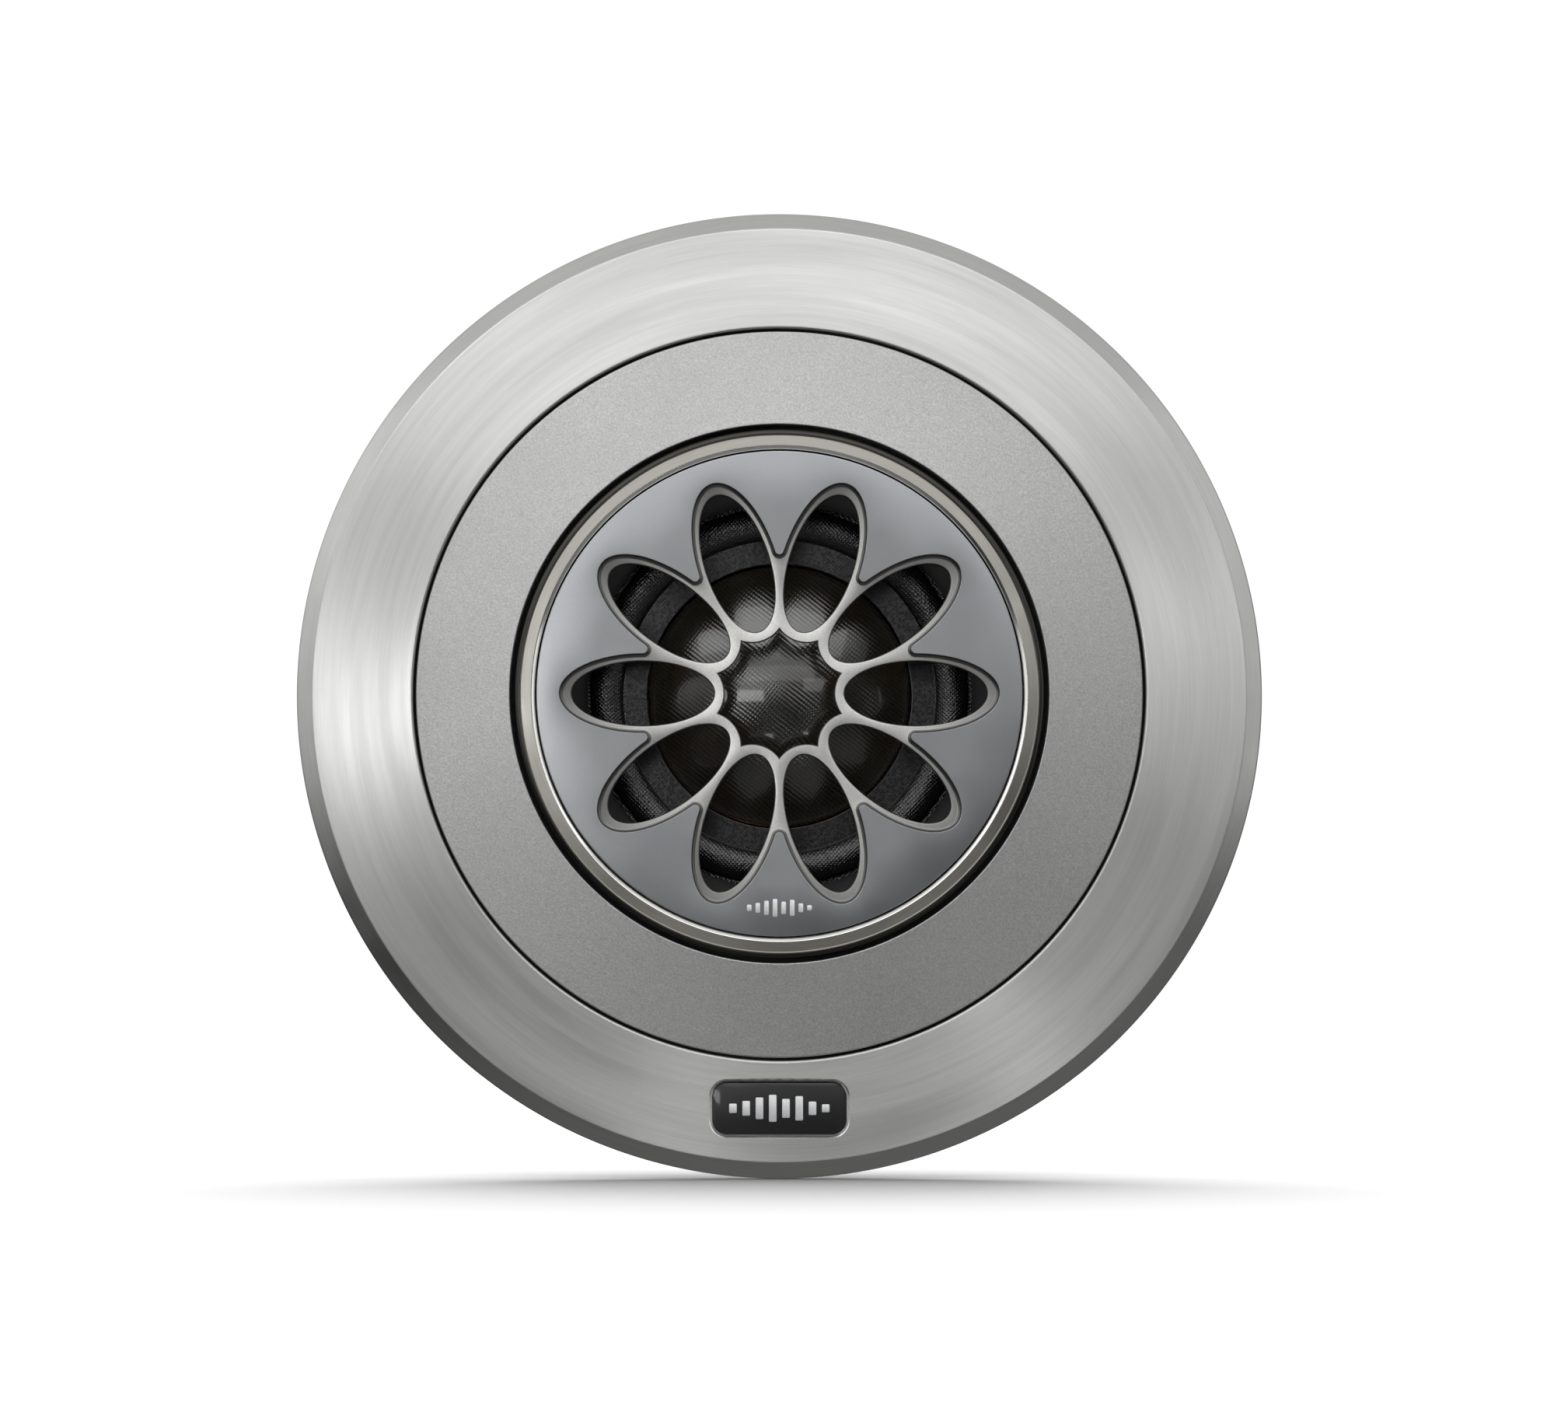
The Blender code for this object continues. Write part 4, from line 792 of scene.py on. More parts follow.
def wound_copper(metal):
    """Turns of lacquered wire side by side round the axis."""
    finish, tree, shader = new_finish("copper_wire", 1.0, Coat_Weight=0.5, Coat_Roughness=0.2)
    sockets = {"Vector": object_point(tree), "Scale": wave_scale(0.16 * MM)}
    turns = add_node(tree, "ShaderNodeTexWave", sockets, bands_direction="Y").outputs[1]
    cloud = noise(tree, object_point(tree), 500.0, 3.0)
    base = mixed(tree, between(tree, turns, 0.0, 1.0, 0.0, 0.8), shaded(metal, 0.35), metal)
    connect(
        tree, shader, Base_Color=base, Roughness=between(tree, cloud, 0.22, 0.36),
        Normal=bump(tree, turns, 0.05 * MM),
    )
    return finish


def lead_copper(metal):
    """Fine twisted strands under a thin lacquer."""
    finish, tree, shader = new_finish("copper_lead", 1.0, Coat_Weight=0.4, Coat_Roughness=0.25)
    strands = noise(tree, object_point(tree, (1.0, 0.2, 1.0)), 7000.0, 2.0)
    base = mixed(tree, between(tree, strands, 0.0, 1.0), shaded(metal, 0.45), metal)
    connect(
        tree, shader, Base_Color=base, Roughness=between(tree, strands, 0.25, 0.42),
        Normal=bump(tree, strands, 0.02 * MM),
    )
    return finish


def laminated_board(tint):
    finish, tree, shader = new_finish("fibre_board", Specular_IOR_Level=0.35)
    fibre = noise(tree, object_point(tree, (0.25, 1.0, 1.0)), 5200.0, 3.0, 0.65)
    cloud = noise(tree, object_point(tree), 300.0, 3.0)
    base = mixed(tree, between(tree, fibre, 0.0, 1.0), shaded(tint, 0.5), shaded(tint, 1.5))
    connect(
        tree, shader, Base_Color=base, Roughness=between(tree, cloud, 0.55, 0.72),
        Normal=bump(tree, fibre, 0.015 * MM),
    )
    return finish


def finish_once(name, build, *arguments):
    """The finish of that name, built the first time that it is asked for."""
    return bpy.data.materials.get(name) or build(*arguments)


def zinc_steel(metal):
    return finish_once(
        "zinc_steel", plated_metal, "zinc_steel", metal, 0.32, (0.52, 0.50, 0.44)
    )


# ---- Outlines of the flower -----------------------------------------------------------------
def widened_petal(settings, longer, wider):
    """Centre, half length and half width of the petal along +X, grown by that much all round."""
    outer_end = rim("flower_grille") - settings.pocket_rim - settings.end_margin
    centre = (settings.petal_inner + outer_end) / 2
    half_length = (outer_end - settings.petal_inner) / 2 + longer
    half_width = settings.petal_half_width + wider
    return centre, half_length, half_width


def touching_centre(petal, t, radius):
    """The centre of a circle that touches the ellipse from outside at t."""
    centre, half_length, half_width = petal
    normal_x, normal_y = math.cos(t) / half_length, math.sin(t) / half_width
    reach = radius / math.hypot(normal_x, normal_y)
    x, y = centre + half_length * math.cos(t), half_width * math.sin(t)
    return x + normal_x * reach, y + normal_y * reach


def pocket_points(settings, grow, arc_points=34, notch_points=10):
    """Joined outline of the widened petals, with the wall rounded between each two."""
    petal = widened_petal(settings, settings.end_margin + grow, settings.side_margin + grow)
    centre, half_length, half_width = petal
    radius = settings.notch - grow
    half_pitch = math.pi / settings.petals
    low, high = math.pi / 4, math.pi
    for _ in range(BISECTIONS):
        touch = (low + high) / 2
        x, y = touching_centre(petal, touch, radius)
        low, high = (touch, high) if math.atan2(y, x) < half_pitch else (low, touch)
    notch_x, notch_y = touching_centre(petal, touch, radius)
    touch_x = centre + half_length * math.cos(touch)
    touch_y = half_width * math.sin(touch)
    start = math.atan2(touch_y - notch_y, touch_x - notch_x)
    sweep = 2 * (half_pitch + math.pi - (start % FULL_TURN))
    for index in range(settings.petals):
        points = []
        for i in range(arc_points):
            t = touch * (2 * i / (arc_points - 1) - 1)
            points.append((centre + half_length * math.cos(t), half_width * math.sin(t)))
        for i in range(1, notch_points):
            angle = start + sweep * i / notch_points
            points.append(
                (notch_x + radius * math.cos(angle), notch_y + radius * math.sin(angle))
            )
        yield from turned_points(points, 2 * half_pitch * index)


def star_points(settings, grow, arc_points=14):
    """Outline of the star opening, made that much larger all round."""
    half_pitch = math.pi / settings.petals
    tip_x = settings.star_tip * math.cos(half_pitch)
    centre = (settings.star_tip**2 - settings.star_inner**2) / (2 * (tip_x - settings.star_inner))
    radius = centre - settings.star_inner - grow
    across = centre * math.sin(half_pitch)
    tip = centre * math.cos(half_pitch) - math.sqrt(radius**2 - across**2)
    half_sweep = math.atan2(tip * math.sin(half_pitch), centre - tip * math.cos(half_pitch))
    for index in range(settings.petals):
        points = []
        for i in range(arc_points):
            angle = math.pi + half_sweep * (1 - 2 * i / arc_points)
            points.append((centre + radius * math.cos(angle), radius * math.sin(angle)))
        yield from turned_points(points, 2 * half_pitch * index)


def turned_points(points, angle):
    cosine, sine = math.cos(angle), math.sin(angle)
    for x, z in points:
        yield x * cosine - z * sine, x * sine + z * cosine


def sheet_of(shape, points, height):
    """One flat face with that outline."""
    return shape.faces.new([shape.verts.new((x, -height, z)) for x, z in points])


def step_in(shape, face, steps):
    """Insets a flat face again and again, each time to the next (distance in, height)."""
    reached = 0.0
    for distance, height in steps:
        bmesh.ops.inset_region(
            shape, faces=[face], thickness=distance - reached, depth=0.0, use_boundary=True,
            use_even_offset=True,
        )
        reached = distance
        for vert in face.verts:
            vert.co.y = -height
    return face


def open_well(shape, face, bottom):
    """Takes away the face and carries its edge down to the bottom height."""
    edges = face.edges[:]
    bmesh.ops.delete(shape, geom=[face], context="FACES_ONLY")
    made = bmesh.ops.extrude_edge_only(shape, edges=edges)["geom"]
    for vert in [item for item in made if isinstance(item, bmesh.types.BMVert)]:
        vert.co.y = -bottom


def rounded_lip(radius, height, steps=5):
    """Steps over an outer edge: from a flat face down into a wall."""
    for i in range(1, steps + 1):
        angle = math.pi / 2 * i / steps
        yield radius * math.sin(angle), height - radius * (1 - math.cos(angle))


def hollow_foot(start, radius, floor, steps=7):
    """Steps through an inner corner: from a wall out onto a flat floor."""
    for i in range(1, steps + 1):
        angle = math.pi / 2 * i / steps
        yield start + radius * (1 - math.cos(angle)), floor + radius * (1 - math.sin(angle))


def fill_level(shape, height):
    """Fills what is open at one height with flat faces."""
    edges = [
        e for e in shape.edges
        if len(e.link_faces) < 2 and all(abs(v.co.y + height) < WELD_DISTANCE for v in e.verts)
    ]
    made = bmesh.ops.triangle_fill(
        shape, edges=edges, use_beauty=True, use_dissolve=False, normal=(0.0, -1.0, 0.0)
    )["geom"]
    faces = [item for item in made if isinstance(item, bmesh.types.BMFace)]
    if not faces:
        raise RuntimeError("the grille could not be filled")
    return faces


# ---- Operators ------------------------------------------------------------------------------
class PieceOperator:
    """What every operator of this file shares."""

    bl_options = {"REGISTER", "UNDO"}

    def execute(self, context):
        self.build(context.scene.tweeter)
        return {"FINISHED"}


class TWEETER_OT_trim_ring(PieceOperator, bpy.types.Operator):
    """Turns the wide brushed ring, with the pocket for its badge"""

    bl_idname = "tweeter.trim_ring"
    bl_label = "Trim ring"

    def build(self, tweeter):
        settings = tweeter.trim_ring
        inner, outer = bore("outer_trim_ring"), rim("outer_trim_ring")
        edge = settings.inner_height - settings.face_drop
        foot = back("outer_trim_ring")
        seat = front("mounting_cup") + SEAT_GAP
        shape = turn(
            section(
                [
                    (inner, settings.inner_height, 0.28 * MM),
                    (outer - settings.bevel_width, edge, 0.12 * MM),
                    (outer, edge - settings.bevel_drop, 0.3 * MM),
                    (outer, foot, 0.2 * MM),
                    (outer - settings.skirt_wall, foot, 0.15 * MM),
                    (outer - settings.skirt_wall, seat, 0.2 * MM),
                    (inner, seat, 0.1 * MM),
                ]
            ),
            360,
        )
        shape = cut_from(shape, badge_pocket(settings))
        face_edge = outer - settings.bevel_width
        low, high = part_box("badge_plate")
        around = 0.5 * MM
        for face in shape.faces:
            centre = face.calc_center_median()
            in_pocket = (
                abs(centre.x) < high[0] + settings.badge_seam + settings.pocket_edge
                and low[2] - around < centre.z < high[2] + around
                and centre.y < high[1] + around
                and face.normal.y > -0.98
            )
            on_face = math.hypot(centre.x, centre.z) < face_edge and face.normal.y < -0.9
            face.material_index = 2 if in_pocket else 0 if on_face else 1
        finishes = [
            brushed_aluminium(settings.metal, settings.roughness),
            turned_aluminium("turned_rim", shaded(settings.metal, 0.60), 0.42),
            turned_aluminium("pocket_edge", shaded(settings.metal, 0.95), 0.24),
        ]
        finish_piece("brushed_trim_ring", shape, finishes, ["outer_trim_ring"])


def badge_pocket(settings):
    """The badge's pocket, flared where it meets the ring's face, as a cutter."""
    low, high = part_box("badge_plate")
    centre_z = (low[2] + high[2]) / 2
    inner, outer = bore("outer_trim_ring"), rim("outer_trim_ring")
    slope = settings.face_drop / (outer - settings.bevel_width - inner)
    face = settings.inner_height - slope * (-centre_z - inner)
    floor = back("badge_plate") - SEAT_GAP
    width = settings.badge_width + 2 * settings.badge_seam
    depth = settings.badge_height + 2 * settings.badge_seam
    corner = settings.badge_corner + settings.badge_seam
    mouth_height = face - settings.pocket_edge
    shape = bar(width, depth, floor, mouth_height, corner, 0, (0.0, centre_z), BADGE_CORNER_STEPS)
    top = max(shape.faces, key=lambda f: -f.calc_center_median().y)
    made = bmesh.ops.extrude_face_region(shape, geom=[top])["geom"]
    bmesh.ops.delete(shape, geom=[top], context="FACES_ONLY")
    raised = [item for item in made if isinstance(item, bmesh.types.BMVert)]
    flare = 3 * settings.pocket_edge
    bmesh.ops.translate(shape, verts=raised, vec=(0.0, -flare, 0.0))
    bmesh.ops.scale(
        shape, verts=raised, vec=(1 + 2 * flare / width, 1.0, 1 + 2 * flare / depth),
        space=Matrix.Translation((0.0, 0.0, -centre_z)),
    )
    mouth = [v for v in shape.verts if v.co.y < -mouth_height + settings.pocket_edge]
    for vert in mouth:
        vert.co.y -= slope * (vert.co.z - centre_z)
    weld(shape)
    return shape


class TWEETER_OT_badge(PieceOperator, bpy.types.Operator):
    """Makes the enamelled badge plate and its plain level bars"""

    bl_idname = "tweeter.badge"
    bl_label = "Badge"

    def build(self, tweeter):
        settings = tweeter.trim_ring
        at = middle("badge_plate")
        face = front("badge_plate")
        plate = bar(
            settings.badge_width, settings.badge_height, back("badge_plate"), face,
            settings.badge_corner, 0.12 * MM, at, BADGE_CORNER_STEPS,
        )
        enamel = black_enamel(settings.enamel)
        finish_piece("enamelled_badge", plate, [enamel], ["badge_plate"])
        bars = level_bars(1.42 * MM, 0.82 * MM, 2.9 * MM, face, 0.05 * MM, 0.12 * MM, at)
        silver = satin_metal("printed_silver", settings.bars, 0.5)
        finish_piece("badge_level_bars", bars, [silver], ["badge_plate"])


def level_bars(pitch, width, tallest, face, proud, corner, at):
    """A row of plain upright bars of uneven height, standing a little proud of a face."""
    start = at[0] - pitch * (len(BAR_HEIGHTS) - 1) / 2
    return joined(
        *(
            bar(
                width, tallest * tall, face - BAR_SINK, face + proud, corner, proud - BAR_SINK,
                (start + pitch * index, at[1]), 3,
            )
            for index, tall in enumerate(BAR_HEIGHTS)
        )
    )


class TWEETER_OT_face_ring(PieceOperator, bpy.types.Operator):
    """Turns the bead-blasted ring round the capsule"""

    bl_idname = "tweeter.face_ring"
    bl_label = "Face ring"

    def build(self, tweeter):
        settings = tweeter.face_ring
        inner, outer = bore("face_ring"), rim("face_ring")
        seat = back("face_ring")
        shape = turn(
            section(
                [
                    (inner, settings.inner_height, settings.edge),
                    (outer, settings.inner_height - settings.face_drop, settings.edge),
                    (outer, seat, settings.edge),
                    (inner, seat, settings.edge),
                ]
            )
        )
        finish = blasted_metal(settings.metal, settings.roughness)
        finish_piece("blasted_face_ring", shape, [finish], ["face_ring"])


class TWEETER_OT_bezel(PieceOperator, bpy.types.Operator):
    """Turns the capsule's polished bezel"""

    bl_idname = "tweeter.bezel"
    bl_label = "Bezel"

    def build(self, tweeter):
        settings = tweeter.bezel
        inner, outer = bore_above_ledge(), rim("bezel_ring")
        top, seat = front("bezel_ring"), back("bezel_ring")
        crest = top - 0.04 * MM
        step = outer - settings.shoulder
        shape = turn(
            section(
                [
                    (inner, crest - 0.34 * MM, 0.05 * MM),
                    (inner + settings.lip_width, crest, 0.06 * MM),
                    (step - 0.07 * MM, crest - settings.band_drop, 0.04 * MM),
                    (step, top, 0.06 * MM),
                    (outer, top, settings.shoulder * 0.78),
                    (outer, seat, 0.1 * MM),
                    (bore("bezel_ring"), seat, 0.1 * MM),
                    (bore("bezel_ring"), settings.ledge_height, 0.1 * MM),
                    (inner, settings.ledge_height, 0),
                ]
            )
        )
        for face in shape.faces:
            centre = face.calc_center_median()
            distance = math.hypot(centre.x, centre.z)
            if distance > step or centre.y > -settings.ledge_height - 1.3 * MM:
                face.material_index = 1
            elif distance < inner + settings.lip_width:
                face.material_index = 2
        # the outer edge is the metal darkened to a tenth, a painted shade, and the lip is coloured
        # far lighter than the band, a painted highlight
        band, edge = shaded(settings.metal, 0.72), shaded(settings.metal, 0.10)
        finishes = [
            turned_aluminium("polished_aluminium", band, 0.34, 0.0006),
            turned_aluminium("bezel_edge_painted_shade", edge, 0.34, 0.0006),
            turned_aluminium("bezel_lip_painted_highlight", settings.lip_highlight, 0.20, 0.001),
        ]
        finish_piece("polished_bezel", shape, finishes, ["bezel_ring"])


def bore_above_ledge():
    """Inner radius of the bezel in front of its ledge, just outside the grille."""
    return rim("flower_grille") + 0.15 * MM


class TWEETER_OT_grille(PieceOperator, bpy.types.Operator):
    """Machines the flower grille: its pocket, its petal openings and its star"""

    bl_idname = "tweeter.grille"
    bl_label = "Flower grille"

    def build(self, tweeter):
        settings = tweeter.grille
        ahead, behind = front("flower_grille"), back("flower_grille")
        floor = ahead - settings.pocket_depth
        outer = rim("flower_grille")
        shape = section(
            [
                (outer, ahead, 0.12 * MM), (outer, behind, 0.05 * MM),
                (0.0, behind, 0), (0.0, ahead, 0),
            ]
        )
        inward = [v for v in shape.verts if v.co.x < WELD_DISTANCE]
        bmesh.ops.delete(shape, geom=inward, context="VERTS")
        bmesh.ops.spin(
            shape, geom=shape.verts[:] + shape.edges[:], cent=(0, 0, 0), axis=(0, 1, 0),
            dvec=(0, 0, 0), angle=FULL_TURN, steps=RING_STEPS, use_merge=True,
        )

        wall_start = settings.wall_edge + 0.02 * MM
        steps = [*rounded_lip(settings.wall_edge, ahead)]
        steps += [(wall_start, floor + settings.fillet)]
        steps += [*hollow_foot(wall_start, settings.fillet, floor)]
        pocket = sheet_of(shape, pocket_points(settings, settings.wall_edge), ahead)
        pocket = step_in(shape, pocket, steps)
        bmesh.ops.delete(shape, geom=[pocket], context="FACES_ONLY")

        lip = list(rounded_lip(settings.lip, floor))
        star = sheet_of(shape, star_points(settings, settings.lip), floor)
        open_well(shape, step_in(shape, star, lip), behind)
        centre, half_length, half_width = widened_petal(settings, settings.lip, settings.lip)
        for index in range(settings.petals):
            placed = (
                Matrix.Rotation(-FULL_TURN * index / settings.petals, 4, "Y")
                @ Matrix.Translation((centre, -floor, 0.0))
                @ Matrix.Rotation(math.pi / 2, 4, "X")
                @ Matrix.Diagonal((half_length, half_width, 1.0, 1.0))
            )
            made = bmesh.ops.create_circle(
                shape, cap_ends=True, segments=96, radius=1.0, matrix=placed
            )["verts"]
            petal = made[0].link_faces[0]
            open_well(shape, step_in(shape, petal, lip), behind)
        bmesh.ops.remove_doubles(shape, verts=shape.verts[:], dist=WELD_DISTANCE)
        for height in (ahead, floor, behind):
            fill_level(shape, height)
        weld(shape)
        for face in shape.faces:
            centre = face.calc_center_median()
            in_pocket = math.hypot(centre.x, centre.z) < outer - 0.2 * MM
            on_face = centre.y < -ahead + 0.5 * settings.wall_edge
            if in_pocket and not on_face:
                # walls, fillets and lips in the pocket take a darkened copy of the web metal:
                # painted shade
                face.material_index = 1 if face.normal.y < -0.97 else 2
        finishes = [
            satin_metal("satin_grey", settings.face_metal, 0.33),
            # the web's colour carries painted shade towards the pocket's outer wall
            machined_web(settings.web_metal, settings.star_tip, outer - settings.pocket_rim),
            # painted shade: the pocket's walls, fillets and lips are the web metal darkened to 0.22
            satin_metal("pocket_wall_painted_shade", shaded(settings.web_metal, 0.22), 0.40, 5200.0, 0.004),
        ]
        finish_piece("machined_flower_grille", shape, finishes, ["flower_grille"])

        at = (0.0, -settings.mark_place)
        bars = level_bars(0.92 * MM, 0.5 * MM, 1.9 * MM, ahead, 0.04 * MM, 0.1 * MM, at)
        printed = satin_metal("printed_mark", settings.mark_metal, 0.5)
        finish_piece("grille_level_bars", bars, [printed], ["flower_grille"])


class TWEETER_OT_diaphragm(PieceOperator, bpy.types.Operator):
    """Presses the cloth dome and the two halves of its surround"""

    bl_idname = "tweeter.diaphragm"
    bl_label = "Dome and surround"

    def build(self, tweeter):
        settings = tweeter.diaphragm
        self.press_dome(settings)
        self.press_surround(settings)

    def press_dome(self, settings):
        crown, skirt_end = front("dome"), back("dome")
        skirt_radius = rim("dome")
        dome_radius = skirt_radius - settings.dome_cloth
        dome_rim = crown - settings.dome_rise
        sphere = (dome_radius**2 + settings.dome_rise**2) / (2 * settings.dome_rise)
        half_angle = math.asin(dome_radius / sphere)
        angles = [half_angle * i / DOME_STEPS for i in range(DOME_STEPS + 1)]
        outside = [
            (sphere * math.sin(angle), crown - sphere * (1 - math.cos(angle)), 0)
            for angle in angles
        ]
        inside = [(distance, height - settings.dome_cloth, 0) for distance, height, _ in outside]
        skirt = [
            (skirt_radius, dome_rim - settings.dome_cloth, 0.08 * MM),
            (skirt_radius, skirt_end, 0.06 * MM),
            (dome_radius, skirt_end, 0.06 * MM),
        ]
        shape = turn(section(outside + skirt + inside[::-1]), SOFT_STEPS)
        finish = dome_cloth(settings.dome_colour, settings.thread)
        finish_piece("woven_dome", shape, [finish], ["dome"], COIL_BODY)

    def press_surround(self, settings):
        inner, outer = bore("surround"), rim("surround")
        face = front("waveguide_ring") - settings.surround_depth
        foot = face - settings.surround_cloth
        roll_start = inner + settings.collar
        crest = roll_start + settings.roll / 2
        finish = surround_cloth(settings.surround_colour, settings.thread, roll_start)
        halves = (("surround_inner_half", -1, inner), ("surround_outer_half", 1, outer))
        for name, side, edge in halves:
            upper, lower = [], []
            for i in range(ROLL_STEPS + 1):
                angle = math.pi / 2 * i / ROLL_STEPS
                upper.append((
                    crest + side * settings.roll / 2 * math.sin(angle),
                    face + settings.roll_rise * math.cos(angle), 0,
                ))
                lower.append((
                    crest + side * (settings.roll / 2 - settings.surround_cloth) * math.sin(angle),
                    foot + settings.roll_rise * math.cos(angle), 0,
                ))
            corners = upper + [(edge, face, 0.05 * MM), (edge, foot, 0.05 * MM)] + lower[::-1]
            shape = turn(section(corners), SOFT_STEPS)
            obj = finish_piece(name, shape, [finish], ["surround"], body=None)
            low, high = (0.0, -face, 0.0), (0.0, -face - 2 * settings.roll_rise, 0.0)
            if side < 0:
                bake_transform(obj)
                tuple(low)
                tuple(high)
            else:
                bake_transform(obj)
                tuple(high)
                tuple(low)


class TWEETER_OT_capsule(PieceOperator, bpy.types.Operator):
    """Turns the capsule's housing, its throat, its clamp ring, its lock ring and its seal"""

    bl_idname = "tweeter.capsule"
    bl_label = "Capsule body"

    def build(self, tweeter):
        anodised = finish_once("black_anodised", anodised_metal, tweeter.metalwork.anodised)
        nylon = finish_once("black_nylon", moulded_nylon, tweeter.mounting.plastic)
        rubber = finish_once("black_rubber", foam_rubber, tweeter.mounting.rubber)
        self.turn_ring("capsule_housing", anodised, 0.2 * MM)
        self.turn_ring("capsule_seal", rubber, 0.15 * MM)
        self.turn_throat(nylon)
        self.cut_lock_ring(anodised)
        softened_copy("diaphragm_ring", 0.12 * MM, nylon)

    def turn_ring(self, node, finish, rounding):
        shape = turn(plain_ring(bore(node), rim(node), back(node), front(node), rounding))
        finish_piece(node + "_turned", shape, [finish], [node])

    def turn_throat(self, finish):
        node = "waveguide_ring"
        outer, ahead, behind = rim(node), front(node), back(node)
        shape = turn(
            section(
                [
                    (outer, ahead, 0.15 * MM), (outer, behind, 0.1 * MM),
                    (bore(node), behind, 0.15 * MM),
                    (bore(node) + 0.5 * MM, behind + 2.2 * MM, 0.8 * MM),
                    (outer - 1.0 * MM, ahead, 0.3 * MM),
                ]
            )
        )
        finish_piece("moulded_throat", shape, [finish], [node])

    def cut_lock_ring(self, finish):
        node = "lock_ring"
        shape = turn(plain_ring(bore(node), rim(node), back(node), front(node), 0.18 * MM))
        slots = []
        for quarter in range(4):
            slot = bar(
                12 * MM, 3.0 * MM, back(node) - 1.0 * MM, back(node) + 1.2 * MM, 0.3 * MM, 0,
                (rim(node), 0.0), 4,
            )
            bmesh.ops.rotate(
                slot, verts=slot.verts[:], cent=(0, 0, 0),
                matrix=Matrix.Rotation(FULL_TURN * quarter / 4, 3, "Y"),
            )
            slots.append(slot)
        shape = cut_from(shape, joined(*slots))
        finish_piece("slotted_lock_ring", shape, [finish], [node])


class TWEETER_OT_mounting(PieceOperator, bpy.types.Operator):
    """Moulds the mounting cup, its gasket and the panel nut"""

    bl_idname = "tweeter.mounting"
    bl_label = "Cup, gasket and nut"

    def build(self, tweeter):
        settings = tweeter.mounting
        nylon = finish_once("black_nylon", moulded_nylon, settings.plastic)
        rubber = finish_once("black_rubber", foam_rubber, settings.rubber)
        node = "mounting_cup"
        ahead = front(node)
        flange_back = ahead - settings.flange
        neck = bore("panel_nut") - SEAT_GAP
        shape = turn(
            section(
                [
                    (bore(node), ahead, 0.1 * MM), (rim(node), ahead, 0.15 * MM),
                    (rim(node), flange_back, 0.3 * MM), (neck, flange_back, 0.5 * MM),
                    (neck, back(node), 0.5 * MM), (neck - settings.neck_wall, back(node), 0.4 * MM),
                    (neck - settings.neck_wall, flange_back, 0.2 * MM),
                    (bore(node), flange_back, 0.15 * MM),
                ]
            ),
            CUP_STEPS,
        )
        wells = [screw_well(name) for name in ring_screws()]
        finish_piece("moulded_cup", cut_from(shape, joined(*wells)), [nylon], [node])

        node = "panel_gasket"
        shape = turn(plain_ring(bore(node), rim(node), back(node), front(node), 0.25 * MM))
        finish_piece("foam_gasket", shape, [rubber], [node])
        self.mould_nut(settings, nylon)

    def mould_nut(self, settings, finish):
        node = "panel_nut"
        outer = rim(node)
        shape = turn(
            section(
                [
                    (bore(node), front(node), 0.4 * MM), (outer, front(node), 0.8 * MM),
                    (outer, back(node), 0.8 * MM), (outer - 3.6 * MM, back(node), 0.5 * MM),
                    (outer - 4.2 * MM, back(node) + 1.4 * MM, 0.5 * MM),
                    (bore(node) + 1.8 * MM, back(node) + 1.4 * MM, 0.5 * MM),
                    (bore(node) + 1.4 * MM, back(node), 0.3 * MM),
                    (bore(node), back(node), 0.4 * MM),
                ]
            ),
            360,
        )
        middle_radius = (bore(node) + outer) / 2
        for vert in shape.verts:
            distance = math.hypot(vert.co.x, vert.co.z)
            hold = max(0.0, (distance - middle_radius) / (outer - middle_radius))
            wave = 1 - math.cos(settings.lobes * math.atan2(vert.co.z, vert.co.x))
            drawn_in = hold * settings.lobe_height * wave
            vert.co.x *= 1 - drawn_in / distance
            vert.co.z *= 1 - drawn_in / distance
        finish_piece("lobed_panel_nut", shape, [finish], [node])


def ring_screws():
    return [f"{ring}_screw_{index}" for ring in ("trim", "face") for index in range(1, 5)]


def cover_screws():
    return [f"cover_screw_{index}" for index in range(1, 5)]


def screw_well(node):
    """The countersunk well that a screw's flat head sits in, as a cutter."""
    ahead, behind = front("mounting_cup") + PAST, back(node)
    shank, head = SHANK_RADIUS + WELL_GAP, rim_round(node) + WELL_GAP
    return turn(
        section(
            [
                (0.0, ahead, 0), (shank, ahead, 0), (shank, behind + 1.1 * MM, 0),
                (head, behind, 0), (head, behind - PAST, 0), (0.0, behind - PAST, 0),
            ]
        ),
        WELL_STEPS,
        middle(node),
    )


def rim_round(node):
    """Radius of a small turned piece about its own axis."""
    low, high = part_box(node)
    return (high[0] - low[0]) / 2


